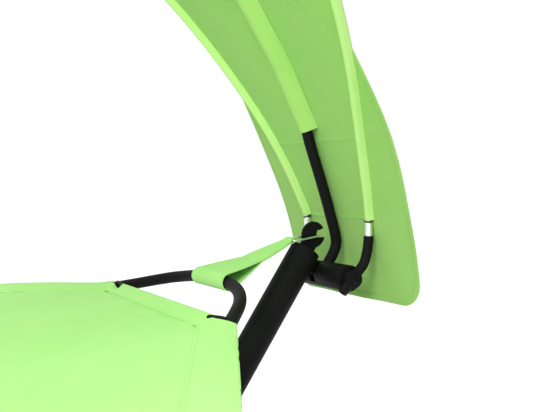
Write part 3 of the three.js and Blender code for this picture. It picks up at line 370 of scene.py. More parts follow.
def face_outwards(mesh, weld=0.0):
    """Turns all faces outwards, after points closer than the weld are joined."""
    shape = bmesh.new()
    shape.from_mesh(mesh)
    if weld:
        bmesh.ops.remove_doubles(shape, verts=shape.verts, dist=weld)
    bmesh.ops.recalc_face_normals(shape, faces=shape.faces)
    shape.to_mesh(mesh)
    shape.free()


def shade(mesh, sharp):
    mesh.shade_smooth()
    mesh.set_sharp_from_angle(angle=sharp)


def make(name, points, faces, look, sharp=SHARP, uv=None):
    """An object from millimetre points in the drawing, faced outwards and shaded smooth."""
    mesh = bpy.data.meshes.new(name)
    placed = (np.asarray(points, float) + (MID_X, 0, 0)) * MM
    mesh.from_pydata(placed.tolist(), [], [list(map(int, face)) for face in faces])
    if uv is not None:
        layer = mesh.uv_layers.new(name="cloth")
        corners = np.zeros(len(mesh.loops), int)
        mesh.loops.foreach_get("vertex_index", corners)
        layer.data.foreach_set("uv", (np.asarray(uv, float) * MM)[corners].ravel())
    face_outwards(mesh)
    mesh.materials.append(look)
    shade(mesh, sharp)
    return put(name, mesh)


def merge(shapes):
    """Points and faces of several shapes as one list of each."""
    points, faces, start = [], [], 0
    for shape_points, shape_faces in shapes:
        points.append(np.asarray(shape_points, float))
        faces.extend([[start + i for i in face] for face in shape_faces])
        start += len(shape_points)
    return np.vstack(points), faces


def loft(rings, closed=False):
    """Faces between rings of points, one after the other."""
    rings = np.asarray(rings, float)
    count, sides = rings.shape[:2]
    faces = []
    for i in range(count if closed else count - 1):
        a, b = i * sides, (i + 1) % count * sides
        for j in range(sides):
            k = (j + 1) % sides
            faces.append((a + j, a + k, b + k, b + j))
    if not closed:
        faces.append(tuple(range(sides))[::-1])
        faces.append(tuple((count - 1) * sides + j for j in range(sides)))
    return rings.reshape(-1, 3), faces


def circle_at(centre, across, up, radius, sides):
    angles = 2 * math.pi * np.arange(sides) / sides
    return centre + radius * (np.outer(np.cos(angles), across) + np.outer(np.sin(angles), up))


def soft_end(radius, edge):
    """Distances from an end and radii, where its edge is softened."""
    return [(0, radius - edge), (edge * EDGE_SHARE, radius - edge * EDGE_SHARE), (edge, radius)]


def tube_shape(points, radius, bore=0.0, sides=TUBE_SIDES, edge=TUBE_EDGE, depth=BORE_DEPTH, closed=False):
    """A round tube with softened ends, hollow for a short way where it has a bore."""
    points = np.asarray(points, float)
    sideways, upward = frames(points, closed)
    rings = [(point, i, radius) for i, point in enumerate(points)]
    if not closed:
        section = soft_end(radius, edge)
        if bore:
            section = [(depth, bore), (edge / 2, bore), (0, bore + edge / 2), *section]
        ends = []
        for end, second in ((0, 1), (-1, -2)):
            inwards = unit(points[second] - points[end])
            ends.append([(points[end] + inwards * along, end, r) for along, r in section])
        rings = [*ends[0], *rings[1:-1], *ends[1][::-1]]
    return loft([circle_at(c, sideways[i], upward[i], r, sides) for c, i, r in rings], closed)


def turned_shape(start, direction, profile, sides=TUBE_SIDES, flats=0, closed=False):
    """A profile of distances along a line and radii, turned round it, with flats on request."""
    direction, across, up = axes_of(direction)
    angles = 2 * math.pi * np.arange(sides) / sides
    limit = math.inf
    if flats:
        corner = max(radius for along, radius in profile)
        turn = np.mod(angles, 2 * math.pi / flats) - math.pi / flats
        limit = corner * math.cos(math.pi / flats) / np.cos(turn)
    rings = []
    for along, radius in profile:
        reach = np.minimum(np.full(sides, float(radius)), limit)
        ring = np.outer(np.cos(angles) * reach, across) + np.outer(np.sin(angles) * reach, up)
        rings.append(start + direction * along + ring)
    return loft(rings, closed)


def drum_shape(start, direction, length, radius, sides=POST_SIDES):
    return turned_shape(start, direction, [(0, radius), (length, radius)], sides)


def disc_profile(length, radius, edge=DISC_EDGE):
    first = soft_end(radius, edge)
    return first + [(length - along, r) for along, r in first[::-1]]


def washer_shape(start, direction, length, radius):
    """A washer on a bolt, lofted as a closed ring."""
    hole, edge = BOLT_R + GAP, WASHER_EDGE
    profile = [
        (0, hole), (0, radius - edge), (edge, radius), (length - edge, radius), (length, radius - edge),
        (length, hole),
    ]
    return turned_shape(start, direction, profile, closed=True)


def block_shape(centre, size):
    signs = [(x, y, z) for x in (-1, 1) for y in (-1, 1) for z in (-1, 1)]
    points = np.asarray(centre, float) + np.array(signs) * np.asarray(size, float) / 2
    faces = [(0, 1, 3, 2), (4, 6, 7, 5), (0, 4, 5, 1), (2, 3, 7, 6), (0, 2, 6, 4), (1, 5, 7, 3)]
    return points, faces


def turned_block(shape, centre, lean):
    """A block turned about a line through a centre along Y."""
    points, faces = shape
    centre = np.asarray(centre, float)
    offset = points - centre
    c, s = math.cos(lean), math.sin(lean)
    turned = np.column_stack((c * offset[:, 0] + s * offset[:, 2], offset[:, 1],
                              c * offset[:, 2] - s * offset[:, 0]))
    return centre + turned, faces


def bake(made):
    """Applies an object's modifiers."""
    bpy.context.view_layer.update()
    graph = bpy.context.evaluated_depsgraph_get()
    mesh = bpy.data.meshes.new_from_object(made.evaluated_get(graph))
    made.modifiers.clear()
    made.data = mesh
    return made


def soften(made, width, sharp=NODE_SHARP):
    """Bevels an object's edges."""
    bevel = made.modifiers.new("soften", "BEVEL")
    bevel.width = width * MM
    bevel.segments = 2
    bevel.limit_method = "ANGLE"
    bevel.angle_limit = sharp


def carve(name, base, joins, cuts, look, bevel, body, node, sharp=SHARP):
    """A solid joined and cut from plain shapes, softened along its edges and seated."""
    made = make(name, *base, look)
    for operation, shapes in (("UNION", joins), ("DIFFERENCE", cuts)):
        for shape in shapes:
            tool = make(f"{name}_tool", *shape, look)
            step = made.modifiers.new("step", "BOOLEAN")
            step.operation = operation
            step.solver = "EXACT"
            step.object = tool
            bake(made)
            bpy.data.objects.remove(tool)
    soften(made, bevel, sharp)
    bake(made)
    shade(made.data, sharp)
    seat(made, body, SLOTS[look], node)


def thicken(made, thickness):
    """Gives a sheet its thickness, half of it to each side."""
    layer = made.modifiers.new("thickness", "SOLIDIFY")
    layer.thickness = thickness * MM
    layer.offset = 0
    bake(made)


def grid(points):
    """Points and faces of a grid of rows and columns."""
    rows, columns = points.shape[:2]
    faces = [
        (i * columns + j, i * columns + j + 1, (i + 1) * columns + j + 1, (i + 1) * columns + j)
        for i in range(rows - 1) for j in range(columns - 1)
    ]
    return points.reshape(-1, 3), faces


def seat(made, body, slot, *nodes):
    """The piece rides on a body and stands for CAD nodes, which it hides; its slot is not used."""
    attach(made, body)
    if nodes:
        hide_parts(*nodes)
    return made


def piece(name, shape, look, body, *nodes):
    """A hard piece, made and seated."""
    return seat(make(name, *shape, look), body, SLOTS[look], *nodes)


def flip(points, way):
    """The foot end is the head end turned round, at its own height."""
    return np.asarray(points, float) * (way, way, 1)


def turn_shape(shape, way):
    points, faces = shape
    return flip(points, way), faces


# Looks

WHITE = (1, 1, 1, 1)
SLOW_SCALE = {"hard": 9.0, "cloth": 6.0}
FUZZ_SCALE = 1400.0
TWIST_SCALE = 700.0
CREASE_SCALE = 22.0
CREASE_ROUGHNESS = 0.4
CREASE_DEPTH = 0.004
CREASE_STRENGTH = 0.35
FINE_DETAIL = 2.0
GLOSS_CHANGE = 0.12
NOISE_RANGE = (0.3, 0.7)
WAVE_RANGE = (-1.0, 1.0)
WEAVE_TONE = (0.0, 0.22)
SLOW_TONE = (0.1, 0.6)
FUZZ_TONE = (-0.08, 0.08)
WEAVE_PITCH = 0.0011
WEAVE_DEPTH = 0.00022
CLOTH_FINISH = {"Roughness": 0.85, "Sheen Weight": 0.15, "Specular IOR Level": 0.25}
THREAD_FINISH = {"Roughness": 0.7}


def feed(tree, made, inputs):
    """Sets a node's inputs, or links them where another node's output is given."""
    for key, value in inputs.items():
        if isinstance(value, bpy.types.NodeSocket):
            tree.links.new(value, made.inputs[key])
        else:
            made.inputs[key].default_value = value


def add_node(tree, kind, out, inputs, **settings):
    """A shader node with its settings and inputs, as the output to go on with."""
    made = tree.nodes.new("ShaderNode" + kind)
    for key, value in settings.items():
        setattr(made, key, value)
    feed(tree, made, inputs)
    return made.outputs[out]


def shader(name):
    look = bpy.data.materials.new(name)
    look.use_nodes = True
    return look, look.node_tree, look.node_tree.nodes["Principled BSDF"]


def noise(tree, scale, detail=3.0, roughness=0.6):
    where = add_node(tree, "TexCoord", "Object", {})
    inputs = {"Vector": where, "Scale": scale, "Detail": detail, "Roughness": roughness}
    return add_node(tree, "TexNoise", "Fac", inputs)


def ramp(tree, value, to_range, from_range=NOISE_RANGE):
    names = ("From Min", "From Max", "To Min", "To Max")
    inputs = {"Value": value, **dict(zip(names, (*from_range, *to_range)))}
    return add_node(tree, "MapRange", "Result", inputs)


def maths(tree, operation, first, second=0.0):
    return add_node(tree, "Math", "Value", {0: first, 1: second}, operation=operation)


def bump(tree, height, distance, strength=1.0, **more):
    inputs = {"Height": height, "Distance": distance, "Strength": strength, **more}
    return add_node(tree, "Bump", "Normal", inputs)


def mix_colour(tree, share, first, second):
    inputs = {"Factor": share, "A": (*first, 1), "B": (*second, 1)}
    return add_node(tree, "Mix", "Result", inputs, data_type="RGBA")


def hard_look(name, dark, light, roughness, metallic=0.0, grain=900.0, depth=0.00002, shine=0.5):
    """Paint, plastic or bare metal: a fine grain, and a slow change of tone and gloss."""
    look, tree, base = shader(name)
    slow = noise(tree, SLOW_SCALE["hard"])
    gloss = (roughness * (1 - GLOSS_CHANGE), roughness * (1 + GLOSS_CHANGE))
    feed(tree, base, {
        "Base Color": mix_colour(tree, slow, dark, light), "Roughness": ramp(tree, slow, gloss),
        "Normal": bump(tree, noise(tree, grain, FINE_DETAIL), depth), "Metallic": metallic,
        "Specular IOR Level": shine,
    })
    return look


def fabric_look(name, dark, light, through=0.0):
    """Woven cloth: crossed threads from the cloth's own layout, and a slow change of tone."""
    look, tree, base = shader(name)
    layout = add_node(tree, "UVMap", "UV", {}, uv_map="cloth")
    across = [add_node(tree, "SeparateXYZ", axis, {"Vector": layout}) for axis in "XY"]
    waves = [maths(tree, "SINE", maths(tree, "MULTIPLY", x, math.pi / WEAVE_PITCH)) for x in across]
    weave = maths(tree, "MULTIPLY", *waves)
    slow = ramp(tree, noise(tree, SLOW_SCALE["cloth"]), SLOW_TONE)
    fuzz = ramp(tree, noise(tree, FUZZ_SCALE, FINE_DETAIL), FUZZ_TONE)
    creases = noise(tree, CREASE_SCALE, FINE_DETAIL, CREASE_ROUGHNESS)
    tone = maths(tree, "ADD", ramp(tree, weave, WEAVE_TONE, WAVE_RANGE), slow)
    tone = maths(tree, "ADD", tone, fuzz)
    large = bump(tree, creases, CREASE_DEPTH, CREASE_STRENGTH)
    small = bump(tree, weave, WEAVE_DEPTH, Normal=large)
    feed(tree, base, {"Base Color": mix_colour(tree, tone, dark, light), "Normal": small, **CLOTH_FINISH})
    if through:
        thin = add_node(tree, "BsdfTranslucent", "BSDF", {"Color": (*light, 1), "Normal": small})
        inputs = {"Fac": through, 1: base.outputs["BSDF"], 2: thin}
        blend = add_node(tree, "MixShader", "Shader", inputs)
        feed(tree, tree.nodes["Material Output"], {"Surface": blend})
    return look


def thread_look(name, dark, light):
    look, tree, base = shader(name)
    colour = mix_colour(tree, noise(tree, TWIST_SCALE), dark, light)
    feed(tree, base, {"Base Color": colour, **THREAD_FINISH})
    return look

PAINT = hard_look("black_paint", (0.006, 0.006, 0.0062), (0.009, 0.009, 0.0092), 0.55, shine=0.07)
STEEL = hard_look("bright_steel", (0.8, 0.81, 0.79), (0.9, 0.91, 0.89), 0.3, 0.9, 300.0, 0.000008)
PLASTIC = hard_look(
    "black_plastic", (0.014, 0.014, 0.014), (0.022, 0.022, 0.022), 0.5, grain=1500.0, depth=0.00003,
)
BED_CLOTH = fabric_look("bed_cloth", (0.43, 0.9, 0.23), (0.53, 0.98, 0.29))
# The canopy's cloth is the bed's fabric darkened: painted shade for the canopy's underside, which faces
# away from the light
CANOPY_CLOTH_PAINTED_SHADE = fabric_look("canopy_cloth_painted_shade", (0.37, 0.73, 0.165), (0.455, 0.81, 0.21), through=0.12)
# The rib sleeves' cloth is the same fabric made lighter: painted light on the rounded sleeves, which face
# the lamps
SLEEVE_CLOTH_PAINTED_LIGHT = fabric_look("sleeve_cloth_painted_light", (0.57, 0.95, 0.28), (0.68, 1.0, 0.35))
# The pocket's cloth is the same fabric darkened less than the sheet: painted shade of the underside, with
# painted light on its rounded face
POCKET_CLOTH_PAINTED_SHADE = fabric_look("pocket_cloth_painted_shade", (0.42, 0.77, 0.185), (0.51, 0.85, 0.235))
THREAD = thread_look("thread", (0.32, 0.72, 0.17), (0.42, 0.84, 0.22))
SLOTS = {PAINT: "black_paint", STEEL: "bright_steel", PLASTIC: "black_plastic"}


# Stand

POST_DIR = vec(math.sin(POST_LEAN), 0, math.cos(POST_LEAN))
ENDS = ("head", "foot")
SIDES = (("right", -1), ("left", 1))
DOWN_Y, UP_Y, UP_Z = (0, -1, 0), (0, 1, 0), (0, 0, 1)
SCREW_SHANK_R = 4.0
SCREW_TIP = (13.0, 12.0)
SCREW_TIP_R = 3.4
SCREW_EDGE = 0.4
SCREW_DOME = [(0.45, 0.96), (0.8, 0.74)]
SCREW_DRIVE_SHARE = 0.4
SCREW_DRIVE_EDGE = 0.8
SCREW_DRIVE_TAPER = 0.96
HEX_FLATS = 6
HEX_EDGE = (0.1, 0.9)
BOLT_DOME = [(0.45, 1), (0.85, 0.86), (1, 0.66), (1, 0.4), (0.4, 0.38)]
SADDLE_BEVEL = 1.6
CAP_BEVEL = 1.4
HUB_BEVEL = 1.2
HOOK_BEVEL = 0.9
POST_CAP_EDGE = 0.9
POST_CAP_BEVEL = 0.3
def stand_end(name):
    """The places that an end's parts share, drawn as at the head."""
    line_x = HOOK_X + POST_LINE[0]
    line_z = HOOK_Z[name] + POST_LINE[1]
    corner = line_x - (line_z - SPINE_Z) * math.tan(POST_LEAN)
    bend_x = corner - POST_BEND_R * math.tan((math.pi / 2 - POST_LEAN) / 2)
    return {
        "line": vec(line_x, 0, line_z),
        "bend_x": bend_x,
        "joint_x": bend_x - POST_STUB,
        "foot_x": bend_x - POST_STUB * FOOT_STUB_SHARE,
        "top": vec(line_x, 0, line_z) + POST_DIR * POST_TOP_DROP,
    }


def post_points(place):
    points = [vec(place["joint_x"], 0, SPINE_Z)]
    for angle in np.linspace(0, math.pi / 2 - POST_LEAN, BEND_POINTS):
        x = place["bend_x"] + POST_BEND_R * math.sin(angle)
        points.append(vec(x, 0, SPINE_Z + POST_BEND_R * (1 - math.cos(angle))))
    return [*points, place["top"]]


def post_shape(line):
    return tube_shape(line, POST_R, POST_R - POST_WALL, POST_SIDES, POST_EDGE)


def add_post(name, place, way):
    shape = post_shape(flip(post_points(place), way))
    piece(f"{name}_post_tube", shape, PAINT, "stand", f"{name}_post")


def screw_shape(x, way):
    """A round head with a recessed drive, on its shank, in the post's right side."""
    face = POST_R + GAP
    drive = SCREW_HEAD_R * SCREW_DRIVE_SHARE
    profile = [
        (face - SCREW_TIP[0], SCREW_TIP_R), (face - SCREW_TIP[1], SCREW_SHANK_R),
        (face, SCREW_SHANK_R), (face, SCREW_HEAD_R - SCREW_EDGE), (face + SCREW_EDGE, SCREW_HEAD_R),
        *[(face + SCREW_HEAD_H * up, SCREW_HEAD_R * out) for up, out in SCREW_DOME],
        (face + SCREW_HEAD_H, drive + SCREW_DRIVE_EDGE), (face + SCREW_HEAD_H, drive),
        (face + SCREW_HEAD_H * SCREW_DRIVE_SHARE, drive * SCREW_DRIVE_TAPER),
    ]
    return turn_shape(turned_shape((x, 0, SPINE_Z), DOWN_Y, profile, THIN_SIDES), way)


def add_joint_screws(name, place, way):
    for i, offset in enumerate((-JOINT_SCREW_OFFSET, JOINT_SCREW_OFFSET), 1):
        shape = screw_shape(place["joint_x"] + offset, way)
        piece(f"{name}_round_screw_{i}", shape, STEEL, "stand", f"{name}_joint_screw_{i}")


def add_cross_foot(name, place, way):
    half = FOOT_TUBE_L / 2
    line = [(place["foot_x"], y, FOOT_TUBE_Z) for y in np.linspace(-half, half, STRAIGHT_POINTS)]
    shape = tube_shape(flip(line, way), FOOT_TUBE_R, FOOT_TUBE_R - FOOT_TUBE_WALL, FOOT_SIDES)
    piece(f"{name}_foot_tube", shape, PAINT, "stand", f"{name}_cross_foot")


def add_saddle(name, place, way):
    low = FOOT_TUBE_Z + FOOT_TUBE_R * SADDLE_WRAP_SHARE
    high = SPINE_Z - POST_R * SADDLE_WRAP_SHARE
    x, reach = place["foot_x"], SADDLE_SIZE
    block = block_shape((x, 0, (low + high) / 2), (reach, reach, high - low))
    cuts = [
        drum_shape((x - reach, 0, SPINE_Z), (1, 0, 0), 2 * reach, POST_R + GAP),
        drum_shape((x, -reach, FOOT_TUBE_Z), UP_Y, 2 * reach, FOOT_TUBE_R + GAP),
        drum_shape((x, 0, 0), UP_Z, SPINE_Z, BOLT_R + GAP, THIN_SIDES),
    ]
    block, *cuts = [turn_shape(shape, way) for shape in (block, *cuts)]
    carve(f"{name}_saddle_block", block, [], cuts, PAINT, SADDLE_BEVEL, "stand", f"{name}_saddle")


def hex_shape(start, direction, length, radius):
    edge, share = HEX_EDGE
    profile = [
        (0, radius * share), (length * edge, radius), (length * share, radius), (length, radius * share),
    ]
    return turned_shape(start, direction, profile, HEX_SIDES, HEX_FLATS)


def add_saddle_bolt(name, place, way):
    x = place["foot_x"]
    top = SPINE_Z + POST_R + GAP
    bottom = FOOT_TUBE_Z - FOOT_TUBE_R - NUT_H - GAP
    shank = turned_shape((x, 0, bottom), UP_Z, disc_profile(top - bottom, BOLT_R), THIN_SIDES)
    head = hex_shape((x, 0, top), UP_Z, BOLT_HEAD_H, BOLT_HEAD_R)
    bolt = turn_shape(merge([shank, head]), way)
    piece(f"{name}_long_bolt", bolt, STEEL, "stand", f"{name}_saddle_bolt")
    nut = turn_shape(hex_shape((x, 0, bottom), UP_Z, NUT_H, NUT_R), way)
    piece(f"{name}_bolt_nut", nut, STEEL, "stand", f"{name}_saddle_nut")


def add_end_caps(name, place, way):
    x = place["foot_x"]
    bore_r = FOOT_TUBE_R + GAP
    length = CAP_DEPTH + GAP + CAP_WALL
    for sign in (-1, 1):
        side = "right" if sign * way < 0 else "left"
        inner = sign * (FOOT_TUBE_L / 2 - CAP_DEPTH)
        middle = (x, inner + sign * length / 2, FOOT_TUBE_Z / 2)
        body = drum_shape((x, inner, FOOT_TUBE_Z), (0, sign, 0), length, bore_r + CAP_WALL)
        pad = block_shape(middle, (CAP_PAD_W, length, FOOT_TUBE_Z))
        cut = drum_shape((x, inner - sign * CAP_WALL, FOOT_TUBE_Z), (0, sign, 0), length, bore_r)
        body, pad, cut = [turn_shape(shape, way) for shape in (body, pad, cut)]
        cap, node = f"{name}_{side}_foot_cap", f"{name}_{side}_end_cap"
        carve(cap, body, [pad], [cut], PLASTIC, CAP_BEVEL, "stand", node)


def stem_shape(place, room):
    """The hook plate's stem in the post, or the room it needs in the cap."""
    length = HOOK_STEM_DEPTH + HOOK_DISC_R
    centre = place["top"] + POST_DIR * (length / 2 - HOOK_STEM_DEPTH)
    size = (HOOK_STEM_W + room, HOOK_PLATE_T + room, length)
    return turned_block(block_shape(centre, size), centre, POST_LEAN)


def slot_shape(z):
    """The slot's room: a round seat for the wire at its low corner, and a mouth that flares upwards."""
    seat_x = HOOK_X - RING_WIRE_R - GAP + HOOK_SEAT_R
    far_x = HOOK_X + 2 * HOOK_DISC_R
    far_z = HOOK_MOUTH[1] + (far_x - HOOK_X - HOOK_MOUTH[0]) * math.tan(HOOK_FLARE)
    outline = [
        (seat_x + HOOK_SEAT_R * math.cos(angle), z + HOOK_SEAT_R * math.sin(angle))
        for angle in np.linspace(-math.pi / 2, -math.pi, SEAT_POINTS)
    ]
    outline += [
        (HOOK_X - GAP, z + HOOK_SLOT_TOP), (HOOK_X + HOOK_MOUTH[0], z + HOOK_MOUTH[1]),
        (far_x, z + far_z), (far_x, z - HOOK_SEAT_R),
    ]
    return loft([[(x, y, level) for x, level in outline] for y in (-HOOK_PLATE_T, HOOK_PLATE_T)])


def add_hook_plate(name, place, way):
    z = HOOK_Z[name]
    start = (HOOK_X + HOOK_DISC[0], -HOOK_PLATE_T / 2, z + HOOK_DISC[1])
    disc = drum_shape(start, UP_Y, HOOK_PLATE_T, HOOK_DISC_R, DISC_SIDES)
    disc, stem, slot = [turn_shape(shape, way) for shape in (disc, stem_shape(place, 0), slot_shape(z))]
    node = f"{name}_hook_plate"
    carve(f"{name}_hook", disc, [stem], [slot], PAINT, HOOK_BEVEL, "stand", node, HOOK_SHARP)


def add_post_cap(name, place, way):
    low = place["top"] + POST_DIR * GAP
    disc = turned_shape(low, POST_DIR, disc_profile(POST_CAP_T, POST_R, POST_CAP_EDGE), POST_SIDES)
    disc, room = turn_shape(disc, way), turn_shape(stem_shape(place, 2 * GAP), way)
    carve(f"{name}_cap_disc", disc, [], [room], PAINT, POST_CAP_BEVEL, "stand", f"{name}_post_cap")


def add_spine(places):
    start = -places["foot"]["joint_x"] + GAP
    end = places["head"]["joint_x"] - GAP
    line = [(x, 0, SPINE_Z) for x in np.linspace(start, end, STRAIGHT_POINTS)]
    piece("base_spine_tube", post_shape(line), PAINT, "stand", "base_spine")


def add_stand():
    places = {name: stand_end(name) for name in ENDS}
    for name in ENDS:
        for part in (
            add_post, add_joint_screws, add_cross_foot, add_saddle, add_saddle_bolt, add_end_caps,
            add_hook_plate, add_post_cap,
        ):
            part(name, places[name], WAY[name])
    add_spine(places)


def keep_nodes(look, *names):
    """CAD nodes whose shape is right keep it, with softened edges and a finish."""
    for name in names:
        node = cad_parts[name]
        node.data.materials.clear()
        node.data.materials.append(look)
        soften(node, NODE_BEVEL)


# Canopy frame

PIVOT_AT = vec(PIVOT[0], 0, PIVOT[1])
LUG_ROOM = (math.radians(-5), math.radians(37))
LUG_ROOM_SIDES = 48
BOSS_SIDES = 56
BOSS_EDGE = 1.0
ARM_STEP = 4.0
CENTRE_ARM_STEP = 8.0
RIB_STEP = 20.0
RIB_OVERLAP = 24.0
ARM_BORE_DEPTH = 12.0
FERRULE_SWELL = 0.35
SLEEVE_SHARES = np.array([0, 0.02, 0.06, 0.12, 0.2, 0.35, 0.5, 0.65, 0.8, 0.88, 0.94, 0.98, 1])
SLEEVE_LIP = (0.12, 0.1)
SLEEVE_EDGE = 0.7
SLEEVE_EDGE_SHARE = 0.05
ARC_X = RIB_FOOT[0] - RIB_ARC_R * math.cos(RIB_LEAN)
ARC_Z = RIB_FOOT[1] - RIB_ARC_R * math.sin(RIB_LEAN)


def arc_point(s, y, lift):
    """Places on the canopy's side-view arc, at distances along it and heights off it."""
    s, y, lift = np.broadcast_arrays(np.asarray(s, float), y, lift)
    angle = RIB_LEAN + s / RIB_ARC_R
    reach = RIB_ARC_R + lift
    return np.stack((ARC_X + reach * np.cos(angle), y, ARC_Z + reach * np.sin(angle)), -1)


def arc_place(points):
    """The distance along the arc, the Y and the height off it of each point."""
    x, z = points[:, 0] - ARC_X, points[:, 2] - ARC_Z
    return (np.arctan2(z, x) - RIB_LEAN) * RIB_ARC_R, points[:, 1], np.hypot(x, z) - RIB_ARC_R


rib_half = smooth([(up * CANOPY_L, half * CANOPY_HALF) for up, half in RIB_SPREAD_SHARES])
ARM_RISE = RIB_FOOT[1] - PIVOT[1]
ARM_REACH = RIB_FOOT[0] - PIVOT[0]
FERRULE_START = ARM_L + GAP
COLLAR_START = FERRULE_START + FERRULE_L + COLLAR_GAP
SLEEVE_START = COLLAR_START + COLLAR_L + COLLAR_GAP


def side_line(sign):
    """The line of a side arm and the rib above it."""
    lean = vec(math.sin(ARM_LEAN), 0, math.cos(ARM_LEAN))
    points = [PIVOT_AT + lean * share * ARM_TIP + vec(0, sign * ARM_Y, 0) for share in ARM_ROOT_SHARES]
    for out, up in ARM_LINE_SHARES:
        y = ARM_Y + (float(rib_half(0)) - ARM_Y) * up
        points.append(PIVOT_AT + vec(out * ARM_REACH, sign * y, up * ARM_RISE))
    along = np.linspace(RIB_MERGE, CANOPY_L - CANOPY_FRONT_MARGIN, ARC_POINTS + 1)
    return spline([*points, *arc_point(along, sign * rib_half(along), 0)])


def centre_line():
    points = [PIVOT_AT + POST_DIR * share * HUB_R for share in CENTRE_ROOT_SHARES]
    points += [PIVOT_AT + vec(out * ARM_REACH, 0, up * ARM_RISE) for out, up in CENTRE_LINE_SHARES]
    along = np.linspace(POCKET_START, CANOPY_L - CANOPY_FRONT_MARGIN, ARC_POINTS + 1)
    return spline([*points, *arc_point(along, 0, -CENTRE_RIB_DROP)])


SIDE_LINES = {side: side_line(sign) for side, sign in SIDES}
CENTRE_LINE = centre_line()


def lug_room_shape():
    """The room that the lug needs in the hub, over the whole tilt."""
    half = LUG_EYE_R + 2 * GAP
    first, last = [math.pi - POST_LEAN + angle for angle in LUG_ROOM]

    def at(angle, out, across):
        return (
            PIVOT[0] + out * math.cos(angle) - across * math.sin(angle),
            PIVOT[1] + out * math.sin(angle) + across * math.cos(angle),
        )

    outline = [
        PIVOT, at(first, 0, -half), at(first, 2 * HUB_R, -half), at(last, 2 * HUB_R, half),
        at(last, 0, half),
    ]
    return loft([[(x, y, z) for x, z in outline] for y in (-HUB_SLOT_HALF, HUB_SLOT_HALF)])


def on_pivot(y):
    return (PIVOT[0], y, PIVOT[1])


def across_hub(start, end, radius, sides, edge=0.0):
    """A drum on the pivot's line, with softened edges on request."""
    length, direction = abs(end - start), (0, math.copysign(1, end - start), 0)
    profile = disc_profile(length, radius, edge) if edge else [(0, radius), (length, radius)]
    return turned_shape(on_pivot(start), direction, profile, sides)


def add_hub():
    room = across_hub(-HUB_SLOT_HALF, HUB_SLOT_HALF, LUG_EYE_R + 2 * GAP, LUG_ROOM_SIDES)
    body = across_hub(-HUB_HALF, HUB_HALF, HUB_R, HUB_SIDES)
    cuts = [room, lug_room_shape()]
    carve("hub_tube", body, [], cuts, PAINT, HUB_BEVEL, "canopy", "canopy_hub", HUB_SHARP)


def add_pivot_hardware():
    face = ARM_Y + ARM_R
    for side, sign in SIDES:
        shape = washer_shape(on_pivot(sign * (face + GAP)), (0, sign, 0), PIVOT_WASHER_T, WASHER_R)
        piece(f"{side}_bolt_washer", shape, PAINT, "canopy", f"{side}_pivot_washer")
        shape = washer_shape(on_pivot(sign * (LUG_HALF + GAP)), (0, sign, 0), WASHER_T, LUG_EYE_R)
        piece(f"{side}_lug_washer", shape, PLASTIC, "stand", f"{side}_friction_washer")
    near = face + 2 * GAP + PIVOT_WASHER_T
    shank = across_hub(-near, near + PIVOT_NUT_H, BOLT_R, THIN_SIDES, DISC_EDGE)
    dome = [(PIVOT_HEAD_H * up, BOLT_HEAD_R * out) for up, out in BOLT_DOME]
    edge = [(0, BOLT_HEAD_R - SCREW_EDGE), (SCREW_EDGE, BOLT_HEAD_R)]
    head = turned_shape(on_pivot(-near), DOWN_Y, edge + dome)
    piece("pivot_bolt_round", merge([shank, head]), PAINT, "canopy", "pivot_bolt")
    nut = hex_shape(on_pivot(near), UP_Y, PIVOT_NUT_H - GAP, NUT_R)
    piece("pivot_nut_hex", nut, PAINT, "canopy", "pivot_nut")


def sleeve_shape(line, start, length, radius, swell):
    """A short sleeve along a line, its ends rolled in and its middle a little swollen."""
    centres = at_lengths(line, start + SLEEVE_SHARES * length)
    to_end = np.minimum(SLEEVE_SHARES, 1 - SLEEVE_SHARES)
    lip = smooth_step(to_end / SLEEVE_LIP[0]) - smooth_step((to_end - SLEEVE_LIP[0]) / SLEEVE_LIP[1])
    edge = SLEEVE_EDGE * (1 - smooth_step(to_end / SLEEVE_EDGE_SHARE))
    rows = zip(centres, *frames(centres), radius + swell * lip - edge)
    return loft([circle_at(centre, side, up, reach, TUBE_SIDES) for centre, side, up, reach in rows])


def add_side_arm(side, sign):
    line = SIDE_LINES[side]
    arm = tube_shape(between(line, 0, ARM_L, ARM_STEP), ARM_R, RIB_R + GAP, depth=ARM_BORE_DEPTH)
    boss = across_hub(
        sign * (HUB_HALF + GAP), sign * (ARM_Y + ARM_R), ARM_BOSS_R, BOSS_SIDES, BOSS_EDGE,
    )
    piece(f"{side}_arm_tube", merge([arm, boss]), PAINT, "canopy", f"{side}_side_arm")
    ferrule = sleeve_shape(line, FERRULE_START, FERRULE_L, FERRULE_R, FERRULE_SWELL)
    piece(f"{side}_bright_ferrule", ferrule, STEEL, "canopy", f"{side}_ferrule")
    collar = sleeve_shape(line, COLLAR_START, COLLAR_L, COLLAR_R, 0)
    piece(f"{side}_black_collar", collar, PLASTIC, "canopy", f"{side}_collar")
    rod = between(line, ARM_L - RIB_OVERLAP, lengths_of(line)[-1] - GAP, RIB_STEP)
    piece(f"{side}_rib_rod", tube_shape(rod, RIB_R, sides=THIN_SIDES), STEEL, "canopy", f"{side}_rib")


def add_centre_arm():
    line = between(CENTRE_LINE, 0, lengths_of(CENTRE_LINE)[-1] - GAP, CENTRE_ARM_STEP)
    shape = tube_shape(line, CENTRE_ARM_R, CENTRE_ARM_R - CENTRE_ARM_WALL)
    piece("centre_arm_tube", shape, PAINT, "canopy", "centre_arm")


def add_canopy_frame():
    add_hub()
    add_pivot_hardware()
    for side, sign in SIDES:
        add_side_arm(side, sign)
    add_centre_arm()


# Canopy cloth

